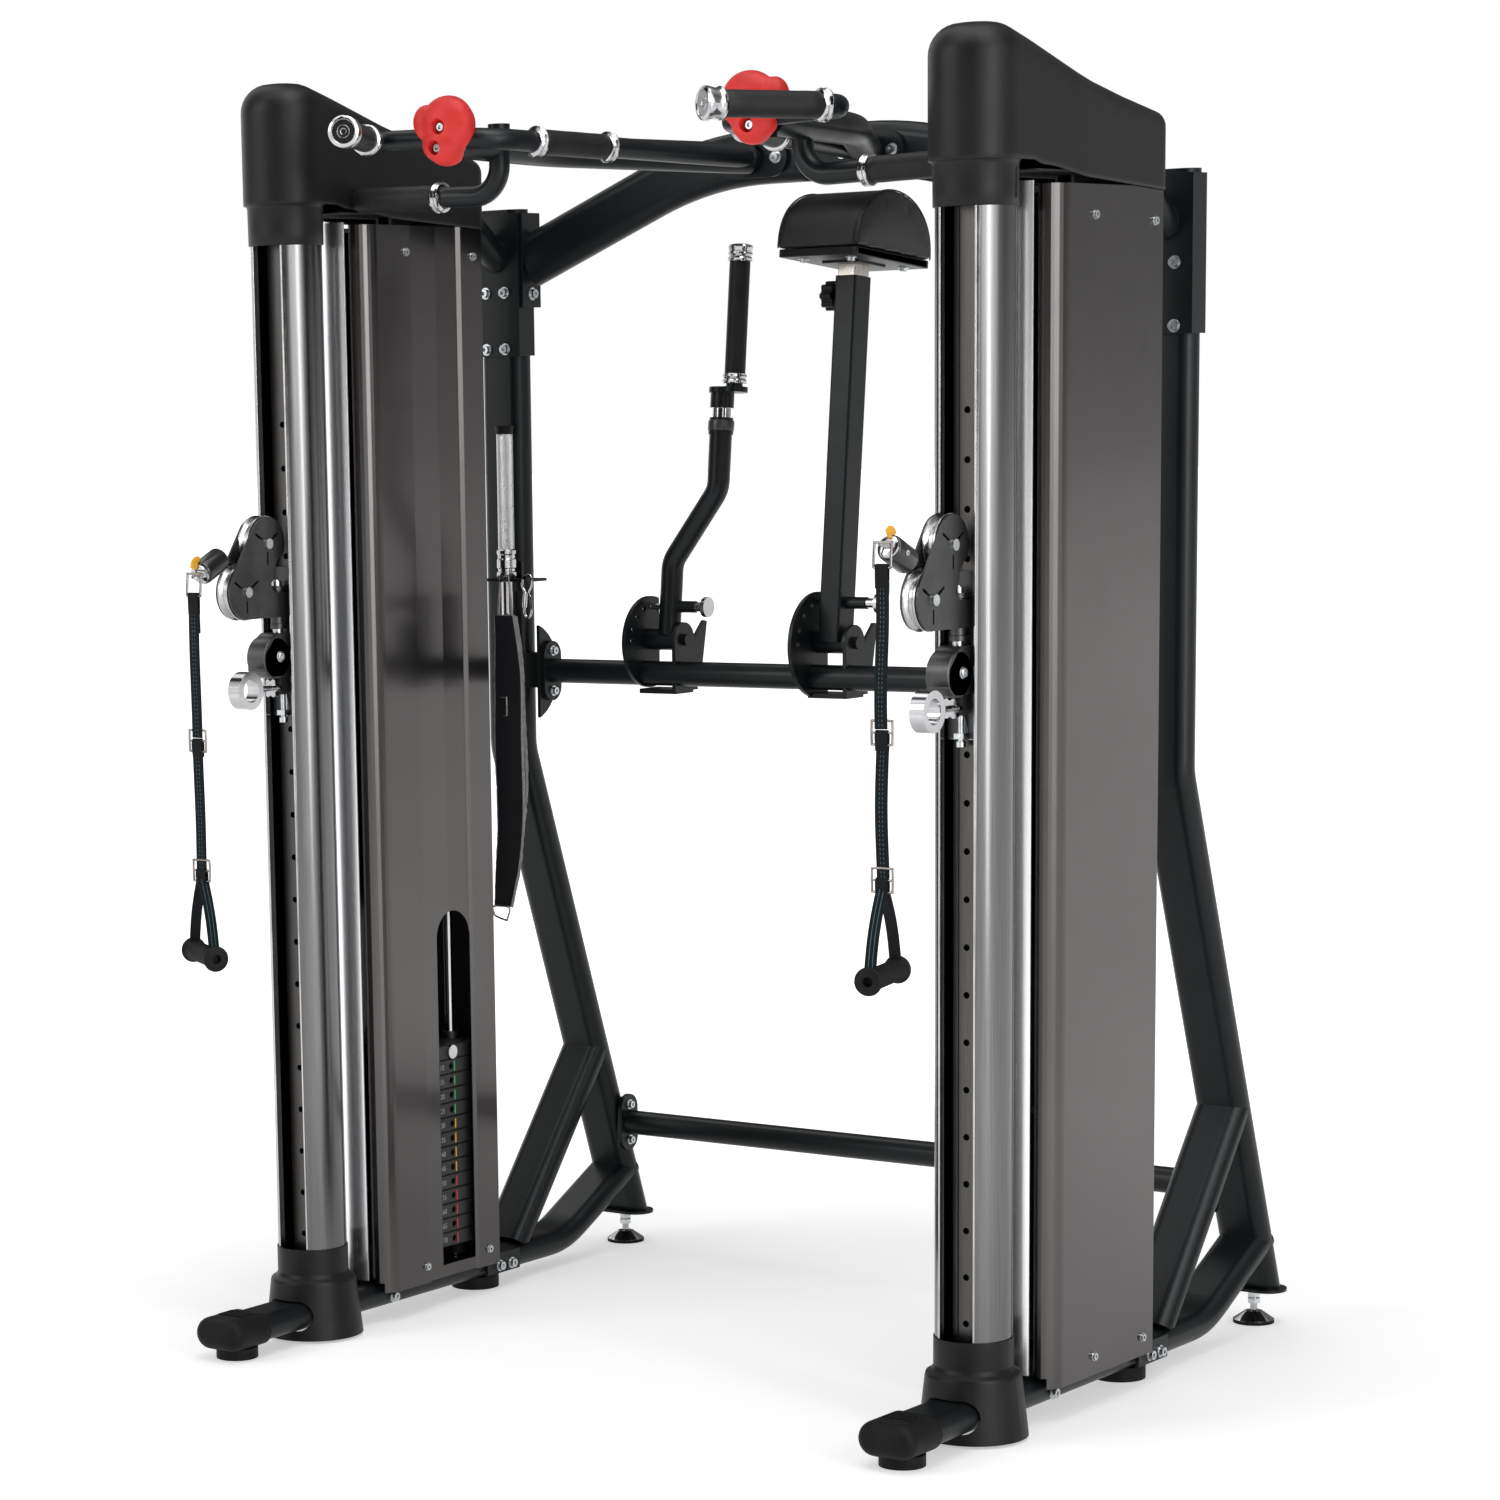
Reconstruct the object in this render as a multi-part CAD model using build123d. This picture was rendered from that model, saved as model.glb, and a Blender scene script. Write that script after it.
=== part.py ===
from build123d import *
import math
import os

# Cable crossover machine: two weight-stack towers joined by an arch and two crossbars.
# Origin on the floor, midway between the two column axes. +X to the right-hand tower,
# +Y to the rear, +Z up; the user stands at -Y. Millimetres.
# Tower pieces are modelled as the right tower with its column axis at x = 0, so there
# +X faces outward and -X faces the machine's centre plane.

os.makedirs("parts", exist_ok=True)

# ---- driving dimensions ----
half_spacing = 640.0        # column axis to centre plane
centre_y = 314.045          # column axis to mid-depth of the machine; saved parts centre on it
col_r, col_wall = 58.0, 5.0
slot_half = 28.0            # half width of the column's front slot
col_bottom, col_top = 70.0, 1865.0
tube_w, tube_h, tube_wall = 90.0, 45.0, 3.0   # flat-oval frame tube
rail_z = 45.0               # centre height of the base rail
rail_front, rail_joint = -225.0, 500.0
post_y, post_top = 598.0, 1875.0
bend_z, leg_slope, leg_bottom = 950.0, 0.3666, 62.0
mid_y, mid_z, mid_r = 585.0, 1087.0, 21.0     # mid crossbar
low_z, low_r = 240.0, 22.0                    # lower crossbar
stack_y = 331.0             # weight stack axis
swivel_y = -48.0            # upright axis the pulley head swings on
latch_z = 1100.0
brace_z = 1882.5            # height at which the low pull-up grip enters the cover
link_front, link_rear = (0, 395, 1925), (0, 575, 1793)   # sloping tube behind the cover
bracket_front = 567.4       # front face of the bracket on the post
beam_flange_z = 1936.0      # pull-up bar flange on the arch
OUTWARD, INWARD, FORWARD = (1, 0, 0), (-1, 0, 0), (0, -1, 0)


# ================= helpers =================
def box(x0, x1, y0, y1, z0, z1):
    """Box between two corners; each pair may be given in either order."""
    middle = Pos((x0 + x1) / 2, (y0 + y1) / 2, (z0 + z1) / 2)
    return middle * Box(abs(x1 - x0), abs(y1 - y0), abs(z1 - z0))


def rod(start, end, radius):
    start, end = Vector(*start), Vector(*end)
    run = end - start
    return extrude(Plane(origin=start, z_dir=run) * Circle(radius), run.length)


def rod_x(x0, x1, y, z, radius):
    return rod((x0, y, z), (x1, y, z), radius)


def rod_y(x, y0, y1, z, radius):
    return rod((x, y0, z), (x, y1, z), radius)


def rod_z(x, y, z0, z1, radius):
    return rod((x, y, z0), (x, y, z1), radius)


def ring(start, end, r_out, r_in):
    return rod(start, end, r_out) - rod(start, end, r_in)


def plate_x(points, x0, x1):
    """Polygon given in (y, z), extruded from x0 to x1."""
    plane = Plane(origin=(x0, 0, 0), x_dir=(0, 1, 0), z_dir=(1, 0, 0))
    return extrude(plane * Polygon(*points, align=None), x1 - x0, dir=(1, 0, 0))


def turned(profile):
    """Closed (radius, height) profile revolved about Z."""
    return revolve(Plane.XZ * Polygon(*profile, align=None), Axis.Z, 360)


def rounded_path(points, radius):
    """Wire through the points; radius is one value, or one for each inner corner."""
    pts = [Vector(*p) for p in points]
    radii = radius if isinstance(radius, list) else [radius] * (len(pts) - 2)
    pieces, start = [], pts[0]
    for i in range(1, len(pts) - 1):
        back = (pts[i - 1] - pts[i]).normalized()
        ahead = (pts[i + 1] - pts[i]).normalized()
        half = math.radians(back.get_angle(ahead) / 2)
        setback = radii[i - 1] / math.tan(half)
        arc_start, arc_end = pts[i] + back * setback, pts[i] + ahead * setback
        bisector = (back + ahead).normalized()
        arc_mid = pts[i] + bisector * (radii[i - 1] / math.sin(half) - radii[i - 1])
        pieces += [Line(start, arc_start), ThreePointArc(arc_start, arc_mid, arc_end)]
        start = arc_end
    pieces.append(Line(start, pts[-1]))
    return Wire([piece.edge() for piece in pieces])


def pipe(points, bend_radius, radius):
    """Solid round bar along a rounded path."""
    wire = rounded_path(points, bend_radius)
    return sweep(Plane(origin=wire @ 0, z_dir=wire % 0) * Circle(radius), path=wire)


def oval(inset=0.0):
    """Cross-section of the frame tube, shrunk by the inset."""
    return SlotOverall(tube_w - 2 * inset, tube_h - 2 * inset)


def swept_oval(wire, x_dir, inset=0.0):
    return sweep(Plane(origin=wire @ 0, x_dir=x_dir, z_dir=wire % 0) * oval(inset), path=wire)


def bent_tube(wire, x_dir):
    return swept_oval(wire, x_dir) - swept_oval(wire, x_dir, tube_wall)


def straight_tube(start, end):
    start, end = Vector(*start), Vector(*end)
    plane = Plane(origin=start, x_dir=(1, 0, 0), z_dir=end - start)
    length = (end - start).length
    return extrude(plane * oval(), length) - extrude(plane * oval(tube_wall), length)


def along(start, end, near, far):
    """Two points, near and far millimetres from start towards end."""
    start, end = Vector(*start), Vector(*end)
    unit = (end - start).normalized()
    return start + unit * near, start + unit * far


def star_knob(plane, core_r, lobes, lobe_at, lobe_r, depth):
    """Round knob with lobes centred lobe_at from its axis."""
    ears = [Rot(0, 0, 360 / lobes * i) * Pos(lobe_at, 0) * Circle(lobe_r) for i in range(lobes)]
    return extrude(plane * (Circle(core_r) + ears), depth)


def bolt(x, y, z, direction, head_r=7.5, head_h=7.0, washer_r=10.0):
    """Button-head screw on a washer, its socketed head facing the direction."""
    washer_t = 1.6
    base, unit = Vector(x, y, z), Vector(*direction)
    washer = rod(base, base + unit * washer_t, washer_r)
    head = rod(base + unit * washer_t, base + unit * (washer_t + head_h), head_r)
    socket = rod(base + unit * (head_h - 2.4), base + unit * (head_h + 3), head_r * 0.42)
    return (washer + head) - socket


def flip(shape):
    return mirror(shape, about=Plane.YZ)


def right(shape):
    return Pos(half_spacing, 0, 0) * shape


def left(shape):
    return Pos(-half_spacing, 0, 0) * flip(shape)


def both(*shapes):
    """All the shapes on the right tower, then all of them on the left."""
    return [right(s) for s in shapes] + [left(s) for s in shapes]


def save(name, *shapes):
    solids = []
    for shape in shapes:
        solids += [Pos(0, -centre_y, 0) * body for body in shape.solids()]
    part = solids[0] if len(solids) == 1 else Compound(children=solids)
    part.label = name
    export_step(part, f"parts/{name}.step")


def save_sides(name, shape):
    """One file for each tower."""
    save(f"{name}_right", right(shape))
    save(f"{name}_left", left(shape))


def leg_y(z):
    """Y of the sloping rear leg's axis at a height."""
    return post_y + leg_slope * (bend_z - z)


low_y = leg_y(low_z)
foot_y = leg_y(leg_bottom)


# ================= base rails and rear legs =================
def rear_leg():
    """Post bent back into a leg, with rear rail, brace, foot plate and crossbar mounts."""
    across = (1, 0, 0)
    wire = rounded_path([(0, post_y, post_top), (0, post_y, bend_z), (0, foot_y, leg_bottom)], 90)
    post = bent_tube(wire, across)
    post_void = swept_oval(wire, across, tube_wall)
    post_full = swept_oval(wire, across)
    rail_path = [(0, rail_joint, rail_z), (0, 690, rail_z), (0, leg_y(118.0), 150.0)]
    rear_rail = bent_tube(rounded_path(rail_path, 190), across)
    brace = straight_tube((0, 545, 62.0), (0, leg_y(385.0), 385.0))
    brace = brace - box(-60, 60, 400, 700, -20, rail_z + tube_h / 2 - 2)
    rear_rail = rear_rail - post_full
    brace = brace - post_full
    cap = extrude(Plane(origin=(0, post_y, post_top)) * oval(), 4)
    foot_plate = extrude(Plane(origin=(0, foot_y, leg_bottom - 5)) * SlotOverall(112, 66), 5)
    foot_plate = foot_plate - rod_z(0, foot_y, 40, 80, 6.05)
    leg = post + cap + foot_plate + rear_rail + brace
    # Side plates lapping the base rail, each with a thicker root on the rear rail
    for side in (-1, 1):
        leg = leg + box(side * 45, side * 51, 425, rail_joint, 27, 63)
        leg = leg + box(side * 43.5, side * 51, rail_joint, 520, 27, 63)
    # Mid crossbar mount: arm from the post inward, ending in a plate with rounded ends
    arm = box(-84, -40, mid_y - 6, post_y + 14, mid_z - 30, mid_z + 30) - post_void
    disc = rod_x(-90, -84, 526, mid_z, 86)
    disc = disc & box(-92, -82, 557, 620, mid_z - 90, mid_z + 90)
    leg = leg + arm + disc
    low_mount = box(-50, -40, low_y - 14, low_y + 14, low_z - 46, low_z + 46)
    return leg + (low_mount - post_void)


save("base_rails", *both(straight_tube((0, rail_front, rail_z), (0, rail_joint, rail_z))))
save_sides("rear_leg", rear_leg())


# ================= columns =================
def column():
    """Round tube slotted at the front, with slot lips and an inner square channel."""
    slot = Pos(0, -60) * Rectangle(2 * slot_half, 60)
    section = Circle(col_r) - Circle(col_r - col_wall) - slot
    lip = Pos(slot_half + 1.4, -44) * Rectangle(2.8, 10)
    section = section + lip + flip(lip)
    channel = Pos(0, 20.5) * Rectangle(40, 65) - Pos(0, 20.5) * Rectangle(32, 57)
    section = section + channel
    return extrude(Plane(origin=(0, 0, col_bottom)) * section, col_top - col_bottom)


def adjustment_bar():
    """Flat bar in the column slot with a row of latch holes."""
    half_w, front, rear = 23.0, -22.0, -12.0
    hole_pitch, hole_first, hole_count = 71.0, 177.0, 20
    bar = box(-half_w, half_w, front, rear, 130, 1850)
    for k in range(hole_count):
        bar = bar - rod_y(0, front - 2, rear + 2, hole_first + k * hole_pitch, 5.1)
    return bar


def base_sleeve():
    """Neck round the column, stepped lip and flared skirt, cut out for the rail."""
    # (radius, z)
    profile = [(58.4, 156), (60.0, 156), (60.0, 112), (63, 106), (71, 101),
               (72.5, 97), (83, 4), (79, 4), (68.5, 94), (58.4, 100)]
    plane = Plane(origin=(0, -120, rail_z), x_dir=(1, 0, 0), z_dir=(0, 1, 0))
    return turned(profile) - extrude(plane * SlotOverall(95, 50), 240)


def nose_cap():
    """Rounded cap over the rail's front end, with ribs on top."""
    plane = Plane(origin=(0, -262, rail_z), x_dir=(1, 0, 0), z_dir=(0, 1, 0))
    nose = extrude(plane * SlotOverall(98, 54), 90)
    nose = fillet(nose.faces().sort_by(Axis.Y)[0].edges(), 20)
    socket = Plane(origin=(0, rail_front, rail_z), x_dir=(1, 0, 0), z_dir=(0, 1, 0))
    nose = nose - extrude(socket * oval(), 100)
    rib_pitch, rib_w = 7.4, 4
    for i in range(7):
        x = -24 + i * rib_pitch
        nose = nose + box(x, x + rib_w, -222, -186, 71.5, 73.6)
    return nose


def levelling_foot():
    """Cone pad on a stem through the leg's foot plate."""
    # (radius, z)
    profile = [(0, 0), (34, 0), (34, 6), (14, 20), (6, 22), (6, 90), (0, 90)]
    return Pos(0, foot_y, 0) * turned(profile)


save("columns", *both(column()))
save("adjustment_bars", *both(adjustment_bar()))
save("base_sleeves", *both(base_sleeve()))
glides = [rod_z(0, -205, 0, 18.0, 35), rod_z(0, 455, 0, 22.4, 42)]
save("rail_caps_and_glides", *both(nose_cap()), *both(*glides))
save_sides("levelling_foot", levelling_foot())

# ================= tower casing =================
panel_half, panel_front, panel_rear = 66.0, 120.0, 441.0
panel_bottom, panel_top, panel_t = 52.0, 1846.0, 2.0
panel_return_x = 48         # edge of the lip turned in at the rear


def front_trim():
    """Shallow curved strip closing the front of the casing."""
    band = Circle(60) - Circle(58)
    band = Pos(0, 160) * band & (Pos(0, 110) * Rectangle(64, 24))
    return extrude(Plane(origin=(0, 0, 75)) * band, 1775)


def casing_panel(outer_middle, inner_middle):
    """Sheet rolled at the front, with optional (x, y) points for each face in between."""
    roll_x, roll_y, steps = 32, 34, 8

    def face_line(inset, middle):
        roll = []
        for i in range(steps + 1):
            a = math.pi / 2 * i / steps
            roll.append((panel_half - roll_x + (roll_x - inset) * math.sin(a),
                         panel_front + roll_y - (roll_y - inset) * math.cos(a)))
        rear = panel_rear - inset
        return roll + middle + [(panel_half - inset, rear), (panel_return_x, rear)]

    outline = face_line(0, outer_middle) + face_line(panel_t, inner_middle)[::-1]
    face = Plane(origin=(0, 0, panel_bottom)) * Polygon(*outline, align=None)
    return extrude(face, panel_top - panel_bottom, dir=(0, 0, 1))


def inner_panel():
    """Panel facing the centre, with a recessed channel and a window onto the stack."""
    # (x, y) of the recess on the outer and the inner face of the sheet
    outer = [(66, 190), (66, 243), (60, 249), (58, 322), (60, 376), (66, 382)]
    inner = [(64, 190), (64, 242.2), (58, 248.2), (56, 322), (58, 376.8), (64, 382.8)]
    window = box(50, 72, 286, 377, 73, 645) + rod_x(50, 72, 331.5, 645, 45.5)
    return flip(casing_panel(outer, inner) - window - rail_gap)


def cover_body(inset):
    """Outer body of the cover (inset 0), or its hollow shrunk by the inset."""
    half_w, rear = 71 - inset, 455 - inset
    plan = Circle(68 - inset) + Polygon(
        (-(67 - inset), 0), (67 - inset, 0), (half_w, 190),
        (half_w, rear), (-half_w, rear), (-half_w, 190), align=None)
    body = extrude(Plane(origin=(0, 0, 1830)) * plan, 260)
    low = 1877.0 if inset == 0 else 1825.0
    # (y, z) of the side view: up the front, over the nose, down to the tail
    side = [(-75, low), (-75, 2020 - inset), (-48, 2055 - inset), (-15, 2068 - inset),
            (10, 2064 - inset), (200, 2000 - inset), (430, 1958 - inset), (rear, 1945 - inset)]
    if inset == 0:
        side += [(455, 1841), (200, 1852), (104, 1868), (60, 1877)]
    else:
        side += [(rear, 1825)]
    return body & plate_x(side, -80, 80)


def top_cover():
    """Hollow cover, bull-nosed over the column, with the column collar moulded on."""
    floor_z = 1880.5
    cover = cover_body(0)
    # Rounding the upper edges may fail in the kernel; the edges then stay sharp
    try:
        top_edges = [e for e in cover.edges() if e.center().Z > 1975 and e.length > 60]
        cover = fillet(top_edges, 14)
    except Exception:
        pass
    cover = cover - (cover_body(3.5) - rod_z(0, 0, 1800, floor_z, 90))
    cover = cover - rod_z(0, 0, 1870, 1881, 58.5)
    mouth = box(-67.5, 67.5, 60, 451.5, 1825, floor_z) - rod_z(0, 0, 1800, 1890, 68)
    cover = cover - mouth
    cover = cover + ring((0, 0, 1813), (0, 0, floor_z), 60.5, 58.5)
    cover = cover - rod(link_front, link_rear, 28)
    # Slot on the inward side for the low pull-up grip
    return cover - rod_x(-80, -60, 99, brace_z, 24) - box(-80, -60, 75, 123, 1840, brace_z)


rail_gap = box(-53, 53, 100, 450, 40, 69)
save("front_trims", *both(front_trim()))
save("outer_panels", *both(casing_panel([], []) - rail_gap))
save("inner_panels", *both(inner_panel()))
save_sides("top_cover", top_cover())

# ================= weight stack =================
plate_half_w, plate_half_d, plate_t = 50, 99, 24.8
plate_pitch, plate_first, plate_count = 25.4, 101.0, 13
rod_r, rod_offset = 10.0, 65.0
rod_ys = [stack_y - rod_offset, stack_y + rod_offset]
head_z = plate_first + plate_count * plate_pitch
head_top = head_z + plate_t
pin_z = head_z + plate_t / 2


def stack_block(z):
    block = box(-plate_half_w, plate_half_w, stack_y - plate_half_d, stack_y + plate_half_d,
                z, z + plate_t)
    return chamfer(block.edges().filter_by(Axis.X) + block.edges().filter_by(Axis.Y), 1.5)


def weight_plate():
    """One plate at z = 0, bored for the rods, the stem and the selector pin."""
    plate = stack_block(0)
    for y in rod_ys:
        plate = plate - rod_z(0, y, -1, plate_t + 1, 10.3)
    plate = plate - rod_z(0, stack_y, -1, plate_t + 1, 13.6)
    return plate - rod_x(-51, 0, stack_y, plate_t / 2, 5.6)


def stack_head():
    """Top block with its bosses and the stem that runs down through the plates."""
    head = stack_block(head_z)
    head = head + rod_z(0, stack_y, head_top, head_top + 22, 19)
    head = head + rod_z(0, stack_y, 104, head_z, 13.0)
    for y in rod_ys:
        head = head + rod_z(0, y, head_top, head_top + 12, 16)
        head = head - rod_z(0, y, head_z - 1, head_top + 14, rod_r + 0.08)
    head = head - rod_z(0, stack_y, 100, head_z + 60, 4.0)
    return head - rod_x(-51, -6, stack_y, pin_z, 5.5)


def selector_pin():
    """Pin with a flat knob that clears the inside of the casing."""
    knob_x = -50.5
    pin = rod_x(-7, knob_x, stack_y, pin_z, 5.42)
    return pin + rod_x(knob_x, knob_x - 4.8, stack_y, pin_z, 12)


plate = weight_plate()
plates = [Pos(0, 0, plate_first + k * plate_pitch) * plate for k in range(plate_count)]
save("weight_plates", *both(*plates))
save_sides("stack_head", stack_head())
save_sides("selector_pin", selector_pin())

# ================= pulleys, cables and guide rods =================
pulley_r = 45.5
cable_r = 2.5
top_pulley_y, top_pulley_z = stack_y - pulley_r + cable_r, 1892.0


def pulley(y, z):
    """Grooved wheel with its axle along X."""
    half_w, bore_r, hub_r, face_step = 10.0, 5.05, 14, 3
    rim_r, groove_r, groove_half = pulley_r - 9, pulley_r - 5.5, 2.5
    web = half_w - face_step
    profile = [(bore_r, -half_w), (hub_r, -half_w), (hub_r, -web), (rim_r, -web),
               (rim_r, -half_w), (pulley_r, -half_w), (pulley_r, -web),
               (groove_r, -groove_half), (groove_r, groove_half),
               (pulley_r, web), (pulley_r, half_w), (rim_r, half_w),
               (rim_r, web), (hub_r, web), (hub_r, half_w), (bore_r, half_w)]
    return Pos(0, y, z) * (Rot(0, 90, 0) * turned(profile))


def stack_cable():
    """Vertical run from the stack head, and the level run forward to the column."""
    level_z = top_pulley_z + pulley_r - cable_r
    cable = rod_z(0, stack_y, head_top + 2, top_pulley_z, cable_r)
    return cable + rod_y(0, top_pulley_y - 6, 40, level_z, cable_r)


def top_pulley_frame():
    """Cheeks and axle of the stack pulley, on two cross plates over the guide rods."""
    y0, y1, base_z = top_pulley_y - 30, top_pulley_y + 30, 1842
    frame = box(-16, -11, y0, y1, base_z, 1910) + box(11, 16, y0, y1, base_z, 1910)
    frame = frame + rod_x(-16, 16, top_pulley_y, top_pulley_z, 5.0)
    frame = frame + box(-50, 50, 214, 256, 1838, base_z) + box(-50, 50, 256, 404, 1838, base_z)
    return frame - rod_z(0, stack_y, 1800, 1860, 6)


column_cable = rod_z(0, 20, 90, top_pulley_z, cable_r)
save("lift_cables", *both(stack_cable()), *both(column_cable))
save_sides("stack_pulley", pulley(top_pulley_y, top_pulley_z))
guides = [rod_z(0, y, 69, 1838, rod_r) for y in rod_ys]
buffers = [ring((0, y, 72), (0, y, plate_first - 0.1), 20, 10.3) for y in rod_ys]
guide_parts = guides + buffers + [top_pulley_frame()]
save("guide_rods", *[place(p) for p in guide_parts for place in (right, left)])


# ================= upper frame and crossbars =================
def arch_beam():
    end_x, end_z, top_x, top_z = 584, 1790, 215, 1940.0
    wire = rounded_path([(-end_x, post_y, end_z), (-top_x, post_y, top_z),
                         (top_x, post_y, top_z), (end_x, post_y, end_z)], 620)
    arch = bent_tube(wire, Vector(0, 1, 0).cross(wire % 0))
    # Square off both ends, then close them with plates
    for side in (-1, 1):
        arch = arch - box(side * 583.9, side * 700, 500, 700, 1600, 2000)
    for side in (-1, 1):
        arch = arch + box(side * end_x, side * 589.8, post_y - 26, post_y + 26, 1712, 1872)
    return arch


def top_link():
    """Sloping tube behind the cover, its U bracket round the post, and a front hanger."""
    bottom, top = 1630, 1872
    bracket = box(-50, 50, bracket_front, bracket_front + 8, bottom, top)
    for side in (-1, 1):
        bracket = bracket + box(side * 45.1, side * 50.0, bracket_front, 612, bottom, top)
    link = ring(link_front, link_rear, 25, 22) - box(-60, 60, 571, 700, 1700, 1900)
    hanger = box(-22, 22, 395, 435, 1846.5, 1900) - rod((0, 380, 1925), link_rear, 24.9)
    return link + bracket + hanger


def crossbar(end_x, y, z, radius, flange_w):
    """Round tube across the machine with an oval flange at each end."""
    flange_t = 8
    tube_x = end_x - flange_t
    bar = ring((-tube_x, y, z), (tube_x, y, z), radius, radius - 3)
    for side in (-1, 1):
        plane = Plane(origin=(side * end_x, y, z), x_dir=(0, 0, 1), z_dir=(-side, 0, 0))
        bar = bar + extrude(plane * SlotOverall(104, flange_w), flange_t)
    return bar


save("arch_beam", arch_beam())
save("top_links", *both(top_link()))
save("mid_crossbar", crossbar(half_spacing - 90, mid_y, mid_z, mid_r, 50))
save("lower_crossbar", crossbar(half_spacing - 50, low_y, low_z, low_r, 52))

# ================= pull-up station (right half, mirrored for the left) =================
flange_x = 110
bar_end = (296, 2, 1957)                      # front end of the thick bar
outer_corner, outer_tip = (447, -12, 1965), (330, -232, 1968)
inner_corner, inner_bend = (224, -25, 1959), (156, 233, 1947)
drop_x, drop_y = 283.0, 104.0                 # bar dropping from the thick one
drop_corner, tower_end = (drop_x, drop_y, 1876.5), (604, 98.5, 1883)
drop_run = Vector(*tower_end) - Vector(*drop_corner)
low_start = Vector(*drop_corner) + drop_run * 0.349     # stretch of the low bar with the grip
low_end = Vector(*drop_corner) + drop_run * 0.8816


def pullup_bar():
    plane = Plane(origin=(flange_x, 575.4, beam_flange_z), x_dir=(1, 0, 0), z_dir=FORWARD)
    flange = extrude(plane * SlotOverall(134, 62), 8)
    thick = pipe([(112, 563, 1936), (288, 240, 1949), bar_end], 200, 25)
    thin = pipe([(331.5, -229.2, 1968), outer_corner, inner_corner, inner_bend,
                 (106, 566, 1936)], [24, 78, 40], 16.5)
    branch = pipe([(drop_x, drop_y, 1984), drop_corner, tower_end], 46, 16.5)
    stub = extrude(Plane(origin=(drop_x, drop_y, 1966)) * Circle(17.5), 21)
    bar = flange + thick + thin + branch + stub
    return bar + rod_y(bar_end[0], bar_end[1], -6, bar_end[2], 25)


def bar_sleeve(start, end, near, far, radius):
    """Sleeve round a thin bar, from near to far along the line start to end."""
    return ring(*along(start, end, near, far), radius, 16.56)


def pinch_hold():
    """Three merged ellipsoids on the thick bar's end, hollowed for the bar and screws."""
    # centre, semi-axes in centimetres (scale of a 10 mm sphere)
    lobes = [((284, -36, 1975), (5.2, 3.6, 5.0)),
             ((288, -36, 1946), (4.4, 3.4, 2.6)),
             ((322, -34, 1982), (2.4, 2.6, 3.0))]
    bodies = [Pos(*centre) * scale(Sphere(10), by=axes) for centre, axes in lobes]
    hold = bodies[0] + bodies[1] + bodies[2]
    hold = hold - box(200, 400, -6.2, 60, 1880, 2080)
    hold = hold - ring((296, 30, 1957), (296, -6.1, 1957), 200, 0.5)
    hold = hold - pipe([(400, -14.6, 1963.6), inner_corner, (190, 104, 1953)], 78, 17.0)
    return hold - rod_y(289, -90, -26, 1946, 11) - rod_y(280, -90, -30, 1976, 11)


bar = pullup_bar()
save("pullup_bars", bar, flip(bar))
inner_run, outer_run = (inner_bend, inner_corner), (outer_corner, outer_tip)
low_run = (low_start, low_end)
grips = [bar_sleeve(*inner_run, 15, 147, 19.5), bar_sleeve(*outer_run, 62, 219, 19.5),
         bar_sleeve(*low_run, 13, 170, 19.5)]
save("pullup_grips", *grips, *[flip(g) for g in grips])
collars = [bar_sleeve(*inner_run, 3, 15, 23), bar_sleeve(*inner_run, 147, 162, 23),
           bar_sleeve(*outer_run, 47, 62, 23), bar_sleeve(*outer_run, 219, 245, 23),
           rod(*along(*outer_run, 247, 253), 21),
           bar_sleeve(*low_run, -2, 13, 23)]
save("grip_collars", *collars, *[flip(c) for c in collars])
hold = pinch_hold()
save("climbing_holds", hold, flip(hold))


# ================= carriage and pulley head =================
def carriage():
    """Channel sliding on the column slot, with swivel lugs, latch housing and lower lug."""
    bottom, top, face_y, lip_y = 1052, 1296, -31, -8.5
    car = box(-27, 27, face_y, -23.0, bottom, top)
    for side in (-1, 1):
        car = car + box(side * 23.8, side * 27, face_y, lip_y, bottom, top)
        car = car + box(side * 20.6, side * 27, -11.4, lip_y, bottom, top)
    # Swivel lugs and the headed pin through them
    for z in (1196, 1258):
        car = car + box(-12, 12, -52, -30, z, z + 8) + rod_z(0, swivel_y, z, z + 8, 12)
    car = car - rod_z(0, swivel_y, 1180, 1280, 5.0)
    car = car + rod_z(0, swivel_y, 1186, 1276, 5.0) + rod_z(0, swivel_y, 1266, 1274, 8.5)
    car = car + rod_z(0, swivel_y, 1196, 1188, 8.5)
    # Housing above the latch pin, (y, z)
    housing = plate_x([(face_y, 1120), (face_y, 1190), (-72, 1190), (-104, 1158),
                       (-104, 1130), (-92, 1120)], -19, 19)
    # Rounding the upper front may fail in the kernel; the edges then stay sharp
    try:
        housing = fillet([e for e in housing.edges().filter_by(Axis.X)
                          if e.center().Z > 1150 and e.center().Y < -60], 18)
    except Exception:
        pass
    car = car + housing
    # Latch pin boss
    car = car + rod_y(0, face_y, -60, latch_z, 13) + box(-13, 13, -60, face_y, latch_z, 1122)
    car = car - rod_y(0, -20, -75, latch_z, 5.08)
    # Lower lug with an upright headed pin
    return (car + box(-8, 8, -46, face_y, 1054, 1062) + rod_z(0, -39, 1046, 1088, 4.5)
            + rod_z(0, -39, 1042, 1050, 7.5))


def latch_pin():
    """Plunger with a star collar and a pull ring."""
    pin = rod_y(0, -22.6, -112, latch_z, 5.0)
    plane = Plane(origin=(0, -61, latch_z), x_dir=(1, 0, 0), z_dir=FORWARD)
    pin = pin + star_knob(plane, core_r=12, lobes=6, lobe_at=11.5, lobe_r=4.6, depth=10)
    return pin + ring((-12, -134, latch_z), (12, -134, latch_z), 31, 19)


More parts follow.
